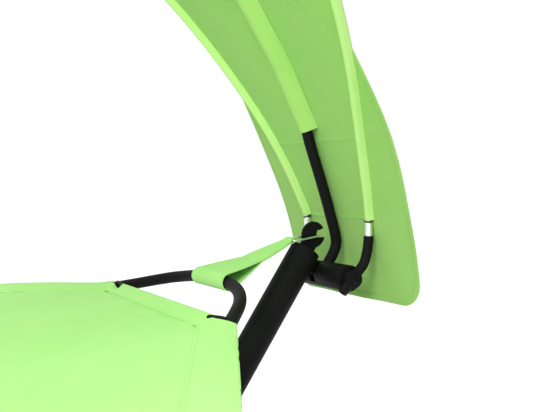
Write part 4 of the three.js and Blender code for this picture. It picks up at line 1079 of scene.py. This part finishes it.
FLAP_TOP = RIB_SPREAD_SHARES[2][0] * CANOPY_L
BAY_SAG = 9.0
SAG_POWER = 1.5
SAG_RIBS = (90.0, 200.0)
HELD_FOOT = (-60.0, 200.0)
HELD_FRONT = (160.0, 0.25)
RIPPLE = 2.2
RIPPLE_Y = 31.0
RIPPLE_S = 90.0
RIPPLE_FROM = 60.0
CURL = 7.0
CURL_FROM = 8.0
CURL_OVER = 90.0
FLAP_SINK = 3.0
CREASE_LOW = 1.1
CREASE_WIDE = 3.2
CREASE_END = 6.0
CORNER_ROWS = 9
ROW_STEP = 14.0
ROW_GAP = 0.7
SEAM_ROWS = np.array((-8, -5, -3, -1.5, 0, 1.5, 3, 5, 8))
SHEET_COLUMNS = 61
SLEEVE_STEP = 12.0
SLEEVE_OVER = 2.0
SLEEVE_CLOTH_T = 0.8 * CLOTH_T
SLEEVE_EDGE_GAP = 1.2
SLEEVE_FLANGE = np.array((8.6, 7.9, 7.1))
SLEEVE_HELD = np.array((1, 1, 0.55))
SLEEVE_RING = np.radians(np.linspace(200, 340, 13))
POCKET_ROWS = 90
POCKET_COLUMNS = 33
POCKET_RIPPLE = 0.5
POCKET_RIPPLE_S = 23.0
POCKET_RIPPLE_Y = 6.0
POCKET_SECTION = [
    (23.0, 6.4), (22.4, 4.2), (20.8, 0.4), (18.6, -4.4), (15.4, -9.6), (11.2, -14.4), (6.0, -17.6),
    (0.0, -18.6),
]
SEAM_STITCH_OFF = 4.5
SEAM_STITCH_FROM = 1.0
SEAM_STITCH_END = 16.0
SEAM_STITCH_POINTS = 60
POCKET_STITCH_FROM = 4.0
POCKET_STITCH_OUT = 1.8
POCKET_STITCH_POINTS = 80
HEM_STITCH_IN = 1.5
HEM_STITCH_UNDER = 1.2
HEM_T = 0.7
HEM_LAYERS = [(0.3, 0.6), (2.0, 1.3), (CANOPY_HEM / 2, 1.5), (CANOPY_HEM - 1.5, 1.1), (CANOPY_HEM, 0.7)]
LOW_EDGE_POINTS = 22
HIGH_EDGE_POINTS = 42
SHEET_MIDDLE = (400.0, 0.0)
flap_width = smooth([
    (FLAP_CORNER_R - CANOPY_FLAP_L, FLAP_HALF), (0, FLAP_HALF + FLAP_BULGE / 4),
    (FLAP_TOP / 2, FLAP_HALF + FLAP_BULGE), (FLAP_TOP, float(rib_half(FLAP_TOP)) + RIB_EDGE),
])


def corner_loss(to_end, radius):
    inside = np.clip(radius - to_end, 0, radius)
    return radius - np.sqrt(radius ** 2 - inside ** 2)


def canopy_half(s):
    s = np.asarray(s, float)
    flap = flap_width(np.maximum(s, FLAP_CORNER_R - CANOPY_FLAP_L))
    half = np.where(s < FLAP_TOP, flap, rib_half(s) + RIB_EDGE)
    return half - corner_loss(s + CANOPY_FLAP_L, FLAP_CORNER_R) - corner_loss(CANOPY_L - s, FRONT_CORNER_R)


def cloth_lift(s, y):
    """The height of the cloth off the arc: taut over ribs and arm, a little slack between."""
    s, y = np.broadcast_arrays(np.asarray(s, float), np.abs(y))
    ribs = rib_half(np.clip(s, 0, CANOPY_L))
    bay = np.clip((y - POCKET_HALF) / np.maximum(ribs - POCKET_HALF, 1), 0, 1)
    held = smooth_step((s - HELD_FOOT[0]) / HELD_FOOT[1])
    held = held * smooth_step((CANOPY_L - s) / HELD_FRONT[0] + HELD_FRONT[1])
    sag = BAY_SAG * np.sin(math.pi * bay) ** SAG_POWER * smooth_step((ribs - SAG_RIBS[0]) / SAG_RIBS[1])
    loose = smooth_step(-s / CANOPY_FLAP_L)
    ripple = loose * RIPPLE * np.sin(y / RIPPLE_Y + s / RIPPLE_S) * smooth_step(y / RIPPLE_FROM)
    outside = np.clip((y - ribs - CURL_FROM) / CURL_OVER, 0, 1)
    curl = CURL * outside ** SAG_POWER - FLAP_SINK * loose
    crease = sum(CREASE_LOW * np.exp(-((s - seam) / CREASE_WIDE) ** 2) for seam in SEAMS)
    return CANOPY_LIFT - sag * held + ripple + curl - crease * (y < ribs - CREASE_END)


def arc_cloth(name, s, y, lift, look, thickness, *nodes, girth=None):
    """A sheet whose points are places on the canopy's arc, in rows and columns."""
    points, faces = grid(arc_point(s, y, lift))
    uv = np.column_stack((s.ravel(), (y if girth is None else girth).ravel()))
    made = make(name, points, faces, look, CLOTH_SHARP, uv)
    thicken(made, thickness)
    shade(made.data, CLOTH_SHARP)
    return seat(made, "canopy", "canopy_fabric", *nodes)


def canopy_rows():
    low, high = -CANOPY_FLAP_L, CANOPY_L
    curve = 1 - np.cos(np.linspace(0, math.pi / 2, CORNER_ROWS))
    rows = [low + FLAP_CORNER_R * curve, high - FRONT_CORNER_R * curve]
    rows.append(np.arange(low + FLAP_CORNER_R, high - FRONT_CORNER_R, ROW_STEP))
    rows += [seam + SEAM_ROWS for seam in SEAMS]
    rows = np.unique(np.round(np.concatenate(rows), 2))
    return rows[np.concatenate(([True], np.diff(rows) > ROW_GAP))]


def add_canopy_sheet():
    rows = canopy_rows()
    s, columns = np.meshgrid(rows, np.linspace(-1, 1, SHEET_COLUMNS), indexing="ij")
    y = columns * canopy_half(rows)[:, None]
    return arc_cloth("canopy_cloth_painted_shade", s, y, cloth_lift(s, y), CANOPY_CLOTH_PAINTED_SHADE, CLOTH_T, "canopy_fabric")


def add_rib_sleeve(side):
    """The sleeve that holds a rib: a flange on each side, and a round pocket between."""
    line = SIDE_LINES[side]
    s, y, lift = arc_place(between(line, SLEEVE_START, lengths_of(line)[-1] + SLEEVE_OVER, SLEEVE_STEP))
    slope = np.gradient(y) / np.gradient(s)
    along = 1 / np.sqrt(1 + slope ** 2)
    flat = np.zeros(len(SLEEVE_FLANGE))
    across = np.concatenate((-SLEEVE_FLANGE, SLEEVE_R * np.cos(SLEEVE_RING), SLEEVE_FLANGE[::-1]))
    height = np.concatenate((flat, SLEEVE_R * np.sin(SLEEVE_RING), flat))
    held = np.concatenate((SLEEVE_HELD, 0 * SLEEVE_RING, SLEEVE_HELD[::-1]))
    limit = canopy_half(s)[:, None] - SLEEVE_EDGE_GAP
    wide = np.clip(y[:, None] + across * along[:, None], -limit, limit)
    shift = s[:, None] - across * (slope * along)[:, None]
    lifts = (cloth_lift(shift, wide) - CLOTH_T) * held + (lift[:, None] + height) * (1 - held)
    return arc_cloth(f"{side}_rib_sleeve", shift, wide, lifts, SLEEVE_CLOTH_PAINTED_LIGHT, SLEEVE_CLOTH_T)


def add_centre_pocket():
    rows = np.linspace(POCKET_START, CANOPY_L - CANOPY_FRONT_MARGIN / 2, POCKET_ROWS)
    half = np.array(POCKET_SECTION)
    section = np.vstack((half, half[-2::-1] * (-1, 1)))
    section = at_lengths(section, np.linspace(0, lengths_of(section)[-1], POCKET_COLUMNS))
    s, y = np.meshgrid(rows, section[:, 0], indexing="ij")
    lift = section[:, 1] + POCKET_RIPPLE * np.sin(s / POCKET_RIPPLE_S) * np.sin(y / POCKET_RIPPLE_Y)
    girth = np.tile(lengths_of(section), (len(rows), 1))
    return arc_cloth("centre_pocket", s, y, lift, POCKET_CLOTH_PAINTED_SHADE, CLOTH_T, girth=girth)


def looped(line):
    return np.vstack((line, line[:1]))


def stitch_shapes(line, normals):
    """Short raised stitches along a line that lies on a cloth."""
    lengths = lengths_of(line)
    shares, heights, radii = np.array(STITCH_SECTIONS).T
    shapes = []
    for start in np.arange(STITCH_PITCH / 2, lengths[-1] - STITCH_PITCH / 2, STITCH_PITCH):
        centres = at_lengths(line, start + shares * STITCH_L)
        normal = unit(np.array([np.interp(start, lengths, column) for column in normals.T]))
        side = np.cross(unit(centres[-1] - centres[0]), normal)
        rings = zip(centres + np.outer(heights, normal), radii * STITCH_R)
        shapes.append(loft([circle_at(middle, side, normal, r, STITCH_SIDES) for middle, r in rings]))
    return shapes


def add_stitches(name, shapes, body, slot, way=1):
    return seat(make(name, *turn_shape(merge(shapes), way), THREAD), body, slot)


def arc_normals(s):
    angle = RIB_LEAN + np.asarray(s, float) / RIB_ARC_R
    return np.column_stack((np.cos(angle), np.zeros(len(angle)), np.sin(angle)))


def cloth_stitches(s, y, under):
    """Stitches along a line of the canopy's sheet, on its inner side and its outer side."""
    shapes = []
    for side, gap in ((-1, CLOTH_T / 2 + under), (1, CLOTH_T / 2)):
        line = arc_point(s, y, cloth_lift(s, y) + side * gap)
        shapes += stitch_shapes(line, arc_normals(s) * side)
    return shapes


def add_canopy_stitches():
    shapes = []
    for seam in SEAMS:
        for offset in (-SEAM_STITCH_OFF, SEAM_STITCH_OFF):
            reach = float(rib_half(seam)) - SEAM_STITCH_END
            for sign in (-1, 1):
                y = np.linspace(sign * SEAM_STITCH_FROM, sign * reach, SEAM_STITCH_POINTS)
                shapes += cloth_stitches(np.full(len(y), seam + offset), y, 0)
    start, end = POCKET_START + POCKET_STITCH_FROM, CANOPY_L - CANOPY_FRONT_MARGIN
    s = np.linspace(start, end, POCKET_STITCH_POINTS)
    for sign in (-1, 1):
        shapes += cloth_stitches(s, np.full(len(s), sign * (POCKET_HALF + POCKET_STITCH_OUT)), 0)
    shapes += cloth_stitches(*hem_line(CANOPY_HEM - HEM_STITCH_IN).T, HEM_STITCH_UNDER)
    return add_stitches("canopy_stitches", shapes, "canopy", "canopy_fabric")


def edge_outline():
    """The sheet's edge, all round, as distance along the arc and Y."""
    rows = canopy_rows()
    half = canopy_half(rows)
    low = np.linspace(-half[0], half[0], LOW_EDGE_POINTS)[1:-1]
    high = np.linspace(half[-1], -half[-1], HIGH_EDGE_POINTS)[1:-1]
    s = np.concatenate((rows[::-1], np.full(len(low), rows[0]), rows, np.full(len(high), rows[-1])))
    return np.column_stack((s, np.concatenate((-half[::-1], low, half, high))))


def hem_line(inset):
    """The sheet's edge moved inwards, as a closed line."""
    outline = edge_outline()
    heading = unit(np.roll(outline, -1, 0) - np.roll(outline, 1, 0))
    inwards = np.column_stack((-heading[:, 1], heading[:, 0]))
    facing = np.sign(np.sum(inwards * (SHEET_MIDDLE - outline), axis=1))
    return looped(outline + np.sign(np.median(facing)) * inwards * inset)


def add_canopy_hem():
    """The turned edge of the sheet, a second layer on its inner side."""
    s, y = np.moveaxis(np.array([hem_line(inset) for inset, drop in HEM_LAYERS]), -1, 0)
    drops = np.array([[drop] for inset, drop in HEM_LAYERS])
    return arc_cloth("canopy_hem", s, y, cloth_lift(s, y) - drops, CANOPY_CLOTH_PAINTED_SHADE, HEM_T)


def add_canopy():
    sheet = add_canopy_sheet()
    extras = [add_rib_sleeve(side) for side, sign in SIDES]
    extras += [add_centre_pocket(), add_canopy_hem(), add_canopy_stitches()]
    rows = canopy_rows()
    width = 2 * float(canopy_half(rows).max()) * MM
    area = float(np.trapz(2 * canopy_half(rows), rows)) * MM * MM


# Bed frame

EDGE_X = HOOK_X - BED_EDGE_IN
BED_JOINT_X = HOOK_X - BED_JOINT_SHARE * BED_EDGE_IN
bed_height = smooth([
    (x * EDGE_X, BED_LOW_Z + z * (HOOK_Z[name] - BED_EDGE_DROP - BED_LOW_Z))
    for name, table in (("foot", FOOT_PROFILE_SHARES), ("head", HEAD_PROFILE_SHARES))
    for x, z in table
])


def end_frame_points(name, sign):
    scale = END_SCALE[name] * sign
    way = WAY[name]
    points = [
        vec(
            way * (HOOK_X - inward * BED_EDGE_IN), half * BED_BOW_HALF * scale,
            HOOK_Z[name] - drop * BED_EDGE_DROP,
        )
        for inward, half, drop in BOW_SHARES
    ]
    for inward, half in SHOULDER_SHARES:
        x = way * (HOOK_X - inward * BED_EDGE_IN)
        points.append(vec(x, half * BED_RAIL_HALF * scale, float(bed_height(x)) + BED_TUBE_LIFT))
    return points


def frame_half(sign):
    """Half of the bed's frame, from the head bow's middle to the foot bow's."""
    rail = []
    for x in np.linspace(BED_JOINT_X, -BED_JOINT_X, RAIL_POINTS + 1):
        share = (x + BED_JOINT_X) / (2 * BED_JOINT_X)
        half = BED_RAIL_HALF * (END_SCALE["foot"] + (1 - END_SCALE["foot"]) * share)
        rail.append(vec(x, sign * half, float(bed_height(x)) + BED_TUBE_LIFT))
    return spline([*end_frame_points("head", sign), *rail, *end_frame_points("foot", sign)[::-1]])


def length_at_x(line, x):
    return float(np.interp(-x, -line[:, 0], lengths_of(line)))


def add_bed_frame():
    lines = {side: frame_half(sign) for side, sign in SIDES}
    right, left = lines["right"], lines["left"]
    total = lengths_of(right)[-1]
    head_joint, foot_joint = [length_at_x(right, x) for x in (BED_JOINT_X, -BED_JOINT_X)]
    ends = [(between(line, 0, head_joint, BOW_STEP), between(line, foot_joint, total, BOW_STEP))
            for line in (right, left)]
    tubes = [
        ("head_bow_tube", "head_bow", np.vstack((ends[0][0][::-1], ends[1][0][1:]))),
        ("foot_bow_tube", "foot_bow", np.vstack((ends[0][1], ends[1][1][-2::-1]))),
    ]
    for side, line in lines.items():
        rail = between(line, head_joint + RAIL_GAP, foot_joint - RAIL_GAP, RAIL_STEP)
        tubes.append((f"{side}_rail_tube", f"{side}_side_rail", rail))
    for name, node, line in tubes:
        piece(name, tube_shape(line, BED_TUBE_R, BED_TUBE_R - BED_TUBE_WALL), PAINT, "bed", node)


# Bed cloth

BODY_FROM = 560.0
CORNER_FROM = 522.0
END_ROWS = 22
CORNER_ROWS_IN = (526, 530, 534, 538, 543, 549, 555)
BODY_ROWS = 71
BED_COLUMNS = 65
COLUMN_CROWDING = 1.35
STITCH_COLUMNS = 33
BED_CLOTH_T = 1.2
BED_WELD = 0.0008
BED_STITCH_SHARE = np.array([0.93])
BED_STITCH_LIFT = 0.6
SEAM_LIFT = 0.7
TUBE_HEM_POWERS = (1.5, 0.85)
ROD_HEM_POWER = 1.15
ROD_HEM_END = (236.0, 24.0)
MOUTH_WINDOW = (215.0, 8.0, 269.0, 16.0)
RISE_WINDOW = (246.0, 16.0, 292.0, 40.0)
MOUTH_ZONE = 6.0
ROD_IN = 331.0
ROD_LIFT = 1.5
ROD_HALF = 258.0
ROD_POINTS = 41
RING_SKIP = 3
ROD_BEND_FROM = 200.0
ROD_BEND_L = 45.0
ROD_BEND_UP = 2.5
ROD_BEND_OUT = 6.0
ROD_HEM_R = 6.4


def end_outline(inward):
    """The outer edge point that belongs to a seam point, by its distance in from the hook."""
    if inward <= CORNER_FROM:
        share = (inward - BED_SEAM_HEAD[0]) / (CORNER_FROM - BED_SEAM_HEAD[0])
        start, end = np.array(BED_OUTLINE[:2], float)
        return start + (end - start) * share
    share = (inward - CORNER_FROM) / (BODY_FROM - CORNER_FROM)
    corner = np.array([*BED_OUTLINE[1:], (BODY_FROM, BED_SHOULDER_HALF)], float)
    return at_lengths(corner, [share * lengths_of(corner)[-1]])[0]


def seam_half(inward):
    return float(np.interp(inward, *zip(BED_SEAM_HEAD, BED_SEAM_SHOULDER)))


def body_scale(x):
    """The taper of the bed, from the head's shoulders to the foot's."""
    last = HOOK_X - BODY_FROM
    share = np.clip((last - x) / (2 * last), 0, 1)
    return 1 + (END_SCALE["foot"] - 1) * share


def bed_rows():
    """X, seam half width, outer edge X and outer half width of each row of the panel."""
    head = []
    for inward in (*np.linspace(BED_SEAM_HEAD[0], CORNER_FROM, END_ROWS), *CORNER_ROWS_IN):
        outer = end_outline(inward)
        head.append((HOOK_X - inward, seam_half(inward), HOOK_X - outer[0], outer[1]))
    last = HOOK_X - BODY_FROM
    body = [
        (x, BED_SEAM_SHOULDER[1] * body_scale(x), x, BED_SHOULDER_HALF * body_scale(x))
        for x in np.linspace(last, -last, BODY_ROWS)
    ]
    foot = np.array(head[::-1]) * (-1, END_SCALE["foot"], -1, END_SCALE["foot"])
    return np.array([*head, *body, *foot])


def outer_half_at(x):
    """Half the cloth's full width at an X, for the sag."""
    rows = bed_rows()
    return np.interp(-np.asarray(x, float), -rows[:, 2], rows[:, 3])


def cloth_base(x, y):
    """The height of the taut bed, which sags between its rails."""
    half = outer_half_at(x)
    side = np.clip(np.abs(y) / half, 0, 1)
    return bed_height(x) - BED_SAG * (1 - side ** 2) * np.clip(1 - (x / EDGE_X) ** 2, 0, 1)


BORDER_SHARES = np.array([
    0, 0.006, 0.025, 0.06, 0.12, 0.2, 0.3, 0.4, 0.5, 0.6, 0.7, 0.8, 0.88, 0.94, 0.98, 1,
])


def tube_hem(share, top):
    """Height of the hem that holds a tube, which hangs lower than the cloth's own surface."""
    across = np.abs(2 * share - 1)
    reach = (TUBE_HEM_UP if top > 0 else TUBE_HEM_DOWN) - SEAM_LIFT / 2 * top
    return SEAM_LIFT * top * share + reach * (1 - across ** TUBE_HEM_POWERS[0]) ** TUBE_HEM_POWERS[1]


def rod_hem(share, top):
    """Height of the narrow hem round the spreader rod, at the ends of the bed."""
    rod = (ROD_IN - BED_EDGE_IN) / (BED_SEAM_HEAD[0] - BED_EDGE_IN)
    seam = SEAM_LIFT * top
    across = np.clip((rod - share) / rod, 0, 1)
    outer = ROD_LIFT + top * ROD_HEM_R * np.sqrt(np.clip(1 - across ** 2, 0, 1))
    peak = ROD_LIFT + top * ROD_HEM_R
    fall = np.clip((share - rod) / (1 - rod), 0, 1)
    return np.where(share < rod, outer, peak + (seam - peak) * fall ** ROD_HEM_POWER)


def border_layers(place, shares):
    """Top and bottom points of the hem at one place round the bed, at shares from its fold to its seam."""
    outer, seam, mouth, head_share, rise = place
    back = mouth * MOUTH_BACK / (BED_SEAM_HEAD[0] - BED_EDGE_IN)
    near_cut = mouth * (1 - shares)
    shares = back + shares * (1 - back)
    flat = outer + (seam - outer) * shares[:, None]
    base = cloth_base(flat[:, 0], flat[:, 1])
    layers = []
    for top in (1, -1):
        lift = head_share * rod_hem(shares, top) + (1 - head_share) * tube_hem(shares, top)
        if top > 0:
            lip = TUBE_LIP + (ROD_LIP - TUBE_LIP) * head_share
            lift = lift + (lip - lift) * near_cut + rise * (1 - shares)
        layers.append(np.column_stack((flat, base + lift)))
    return layers


def window(x, rise_from, rise_over, fall_from, fall_over):
    """1 within a stretch and 0 outside it, with soft ends."""
    return float(smooth_step((x - rise_from) / rise_over) * (1 - smooth_step((x - fall_from) / fall_over)))


def border_places(rows, columns):
    """The grid index of every place on the panel's edge, in order, with its hem."""
    last, right = len(rows) - 1, len(columns) - 1
    ring = [(0, j) for j in range(right + 1)] + [(i, right) for i in range(1, last + 1)]
    ring += [(last, j) for j in range(right - 1, -1, -1)] + [(i, 0) for i in range(last - 1, 0, -1)]
    places = []
    for i, j in ring:
        seam = np.array((rows[i, 0], columns[j] * rows[i, 1]))
        scale = END_SCALE["head" if i < last / 2 else "foot"]
        head_share = 0.0
        if i in (0, last):
            outer = np.array((math.copysign(EDGE_X, seam[0]), columns[j] * BED_OUTLINE[0][1] * scale))
            past_rod = (abs(outer[1]) / scale - ROD_HEM_END[0]) / ROD_HEM_END[1]
            head_share = float(1 - smooth_step(past_rod))
        else:
            outer = np.array((rows[i, 2], math.copysign(rows[i, 3], columns[j])))
        reach = abs(outer[1]) / scale
        mouth = window(reach, *MOUTH_WINDOW) if abs(outer[0]) > EDGE_X - MOUTH_ZONE else 0.0
        rise = CORNER_RISE * window(reach, *RISE_WINDOW)
        places.append(((i, j), (outer, seam, mouth, head_share, rise)))
    return places


def add_bed_cloth():
    rows = bed_rows()
    columns = np.sin(np.linspace(-1, 1, BED_COLUMNS) * COLUMN_CROWDING) / math.sin(COLUMN_CROWDING)
    x = np.repeat(rows[:, :1], len(columns), 1)
    y = columns * rows[:, 1:2]
    points, faces = grid(np.stack((x, y, cloth_base(x, y)), -1))
    blocks = [points]
    hems = [border_layers(place, BORDER_SHARES) for index, place in border_places(rows, columns)]
    steps, size = len(BORDER_SHARES), len(hems)
    for layer in zip(*hems):
        start = sum(len(block) for block in blocks)
        blocks.append(np.vstack(layer))
        for k in range(size):
            a, b = start + k * steps, start + (k + 1) % size * steps
            faces += [(a + m, b + m, b + m + 1, a + m + 1) for m in range(steps - 1)]
    points = np.vstack(blocks)
    made = make("bed_cloth", points, faces, BED_CLOTH, WEB_SHARP, points[:, :2])
    face_outwards(made.data, BED_WELD)
    thicken(made, BED_CLOTH_T)
    shade(made.data, WEB_SHARP)
    return seat(made, "bed", "bed_fabric", "bed_fabric")


def add_bed_stitches():
    """A row of stitches beside the seam between hem and panel, above and below."""
    places = border_places(bed_rows(), np.linspace(-1, 1, STITCH_COLUMNS))
    shapes = []
    for layer, side in ((0, 1), (1, -1)):
        up = vec(0, 0, side)
        line = np.array([border_layers(place, BED_STITCH_SHARE)[layer][0] for index, place in places])
        line = looped(line) + up * BED_STITCH_LIFT
        shapes += stitch_shapes(line, np.tile(up, (len(line), 1)))
    return add_stitches("bed_stitches", shapes, "bed", "bed_fabric")


def add_spreader(name):
    """The rod in the cloth's end hem, which shows where the hem is cut back."""
    way, scale = WAY[name], END_SCALE[name]
    x = HOOK_X - ROD_IN
    y = np.linspace(-ROD_HALF * scale, ROD_HALF * scale, ROD_POINTS)
    bend = smooth_step((np.abs(y) / scale - ROD_BEND_FROM) / ROD_BEND_L)
    z = bed_height(way * x) + ROD_LIFT + ROD_BEND_UP * bend
    line = np.column_stack((way * (x + ROD_BEND_OUT * bend), y, z))
    shape = tube_shape(line, HEM_TAB_R, sides=THIN_SIDES)
    piece(f"{name}_spreader_rod", shape, PAINT, "bed", f"{name}_spreader")


def ring_line(name):
    widening = RING_BASE_HALF - RING_APEX_HALF
    left = [
        (reach * RING_L, apex * RING_APEX_HALF + base * widening, reach * RING_DROP, roll * RING_ROLL)
        for reach, apex, base, roll in RING_SHARES
    ]
    right = [(x, -y, z, roll) for x, y, z, roll in left[-2:0:-1]]
    points = [vec(HOOK_X - x, y, HOOK_Z[name] - z + y * roll) for x, y, z, roll in left + right]
    return flip(spline(points, closed=True)[:-1], WAY[name])


def add_ring(name):
    line = ring_line(name)[::RING_SKIP]
    shape = tube_shape(line, RING_WIRE_R, sides=THIN_SIDES, closed=True)
    piece(f"{name}_wire_ring", shape, STEEL, "bed", f"{name}_ring")


# Straps

STRAP_LAYER_GAP = 0.1
RING_TURN_POINTS = 12
BOW_TURN_POINTS = 24
DOUBLED_POINTS = 24
PARTING_POINTS = 18
STRAP_HALF_COLUMNS = np.array((0, 0.2, 0.4, 0.6, 0.8, 0.9, 0.95, 0.985, 1))
STRAP_COLUMNS = np.concatenate((-STRAP_HALF_COLUMNS[:0:-1], STRAP_HALF_COLUMNS))


def arc_round(centre, radius, start, end, count):
    """Points of a flat arc round a place on the strap's line."""
    angles = np.linspace(start, end, count)
    return (centre, 0) + radius * np.column_stack((np.cos(angles), np.sin(angles)))


def strap_side(length):
    """Half of the strap's middle line in side view: round the ring, doubled, then round the bow."""
    neck, part = STRAP_NECK_SHARE * length, STRAP_PART_SHARE * length
    ring_r = RING_WIRE_R + STRAP_GAP + STRAP_T / 2
    bow_r = BED_TUBE_R + STRAP_GAP + STRAP_SLACK + STRAP_T / 2
    centre = length - STRAP_PULL
    flat = STRAP_T / 2 + STRAP_LAYER_GAP
    ring_turn = math.pi / 2 - math.asin((ring_r - flat) / neck)
    bow_turn = math.pi / 2 + math.asin((bow_r - flat) / (centre - part))
    ring = arc_round(0, ring_r, math.pi, ring_turn, RING_TURN_POINTS)
    bow = arc_round(centre, bow_r, bow_turn, 0, BOW_TURN_POINTS)
    doubled = np.linspace((neck, flat), (part, flat), DOUBLED_POINTS)
    parting = np.linspace(doubled[-1], bow[0], PARTING_POINTS)[1:-1]
    return np.vstack((ring, doubled, parting, bow))


def strap_ends(name):
    ring_at = np.array((HOOK_X - RING_L, HOOK_Z[name] - RING_DROP))
    bow_at = np.array((
        HOOK_X - BOW_SHARES[0][0] * BED_EDGE_IN, HOOK_Z[name] - BOW_SHARES[0][2] * BED_EDGE_DROP,
    ))
    return ring_at, bow_at


def strap_half(name, share):
    shares, parts = np.array(STRAP_WIDTH_SHARES).T
    bow_half = STRAP_BOW_HALF * END_SCALE[name]
    return STRAP_RING_HALF + (bow_half - STRAP_RING_HALF) * np.interp(share, shares, parts)


def strap_loop(name):
    """The strap's middle line in side view, and its half width and roll at each point."""
    ring_at, bow_at = strap_ends(name)
    length = np.linalg.norm(bow_at - ring_at)
    way = (bow_at - ring_at) / length
    side = strap_side(length)
    loop = np.vstack((side, side[-2:0:-1] * (1, -1)))
    belt = ring_at + loop[:, :1] * way + loop[:, 1:] * (-way[1], way[0])
    share = (ring_at[0] - belt[:, 0]) / (ring_at[0] - bow_at[0])
    roll = RING_ROLL * np.clip(1 - share / STRAP_PART_SHARE, 0, 1)
    return belt, strap_half(name, share), roll


def add_strap(name):
    belt, half, roll = strap_loop(name)
    points = np.array([
        [(x, side * reach, z + side * reach * lean) for side in STRAP_COLUMNS]
        for (x, z), reach, lean in zip(belt, half, roll)
    ])
    flat, faces = grid(looped(points))
    lengths = lengths_of(looped(belt))
    uv = np.column_stack((np.repeat(lengths, len(STRAP_COLUMNS)), flat[:, 1]))
    strap = make(f"{name}_strap_loop", flip(flat, WAY[name]), faces, BED_CLOTH, WEB_SHARP, uv)
    thicken(strap, STRAP_T)
    seat(strap, "bed", "bed_fabric", f"{name}_strap")
    stitches = add_strap_stitches(name, belt, half, roll)


def add_strap_stitches(name, belt, half, roll):
    """A row of stitches along each edge of the webbing."""
    tangent = unit(np.roll(belt, -1, 0) - np.roll(belt, 1, 0))
    outward = np.column_stack((-tangent[:, 1], tangent[:, 0]))
    normals = np.column_stack((outward[:, 0], np.zeros(len(belt)), outward[:, 1]))
    shapes = []
    for side in (-1, 1):
        y = side * (half - STRAP_STITCH_IN)
        line = np.column_stack((belt[:, 0], y, belt[:, 1] + y * roll)) + normals * STRAP_T / 2
        shapes += stitch_shapes(looped(line), looped(normals))
    return add_stitches(f"{name}_strap_stitches", shapes, "bed", "bed_fabric", WAY[name])


def add_bed():
    add_bed_frame()
    sheet = add_bed_cloth()
    stitches = add_bed_stitches()
    for name in ENDS:
        add_spreader(name)
        add_ring(name)
        add_strap(name)


# Setting

WORLD_LIGHT = 0.62
WORLD_SHOWN = 1.0
FLOOR_GLOW = 0.6
FLOOR_REACH = 40.0
FLOOR_FINISH = {"Base Color": (0.8, 0.8, 0.8, 1), "Roughness": 0.9, "Specular IOR Level": 0.0}
# Each lamp's name, place, aim, size and power, in metres and watts
LAMPS = [
    ("overhead", (0.6, -0.8, 4.2), (0.4, 0, 0.8), 3.0, 46),
    ("front", (-2.3, -2.6, 3.0), (0.9, 0, 1.0), 2.0, 105),
]


def set_camera():
    data = bpy.data.cameras.new("photo_camera")
    data.lens = CAMERA_LENS
    data.sensor_width = CAMERA_SENSOR
    camera = put("photo_camera", data)
    camera.location = (Vector(CAMERA_AT) + Vector((MID_X, 0, 0))) * MM
    camera.rotation_euler = (math.pi / 2 - CAMERA_DIP, 0, -CAMERA_TURN)
    bpy.context.scene.camera = camera


def shown_or_lit(tree, kind, shown, lit):
    """White with one strength where it is seen, also in metal or through glass, and another as light."""
    kinds = ("Camera", "Glossy", "Transmission")
    rays = [add_node(tree, "LightPath", f"Is {ray} Ray", {}) for ray in kinds]
    seen = maths(tree, "MAXIMUM", maths(tree, "MAXIMUM", *rays[:2]), rays[2])
    sources = [add_node(tree, kind, kind, {"Color": WHITE, "Strength": s}) for s in (lit, shown)]
    return add_node(tree, "MixShader", "Shader", {"Fac": seen, 1: sources[0], 2: sources[1]})


def set_world():
    world = bpy.data.worlds.new("studio")
    bpy.context.scene.world = world
    world.use_nodes = True
    tree = world.node_tree
    tree.nodes.remove(tree.nodes["Background"])
    shown = shown_or_lit(tree, "Background", WORLD_SHOWN, WORLD_LIGHT)
    feed(tree, tree.nodes["World Output"], {"Surface": shown})


def floor_look():
    look, tree, base = shader("pale_floor")
    feed(tree, base, FLOOR_FINISH)
    glow = shown_or_lit(tree, "Emission", FLOOR_GLOW, 0)
    both = add_node(tree, "AddShader", "Shader", {0: base.outputs["BSDF"], 1: glow})
    feed(tree, tree.nodes["Material Output"], {"Surface": both})
    return look


def add_floor():
    data = bpy.data.meshes.new("floor")
    corners = [(x * FLOOR_REACH, y * FLOOR_REACH, 0) for x, y in ((-1, -1), (1, -1), (1, 1), (-1, 1))]
    data.from_pydata(corners, [], [(0, 1, 2, 3)])
    data.materials.append(floor_look())
    put("floor", data)


def set_light():
    for name, at, target, size, power in LAMPS:
        data = bpy.data.lights.new(name, "AREA")
        data.shape = "DISK"
        data.size = size
        data.energy = power
        lamp = put(name, data)
        lamp.location = at
        lamp.rotation_euler = (Vector(target) - Vector(at)).to_track_quat("-Z", "Y").to_euler()

add_stand()
add_canopy_frame()
add_canopy()
add_bed()
keep_nodes(STEEL, *[f"{name}_joint_sleeve" for name in ENDS])
keep_nodes(STEEL, *[f"{name}_{side}_joint_plug" for name in ENDS for side, sign in SIDES])
keep_nodes(PAINT, "canopy_lug")
add_floor()
set_world()
set_light()
set_camera()
bpy.context.scene.view_settings.view_transform = "Standard"
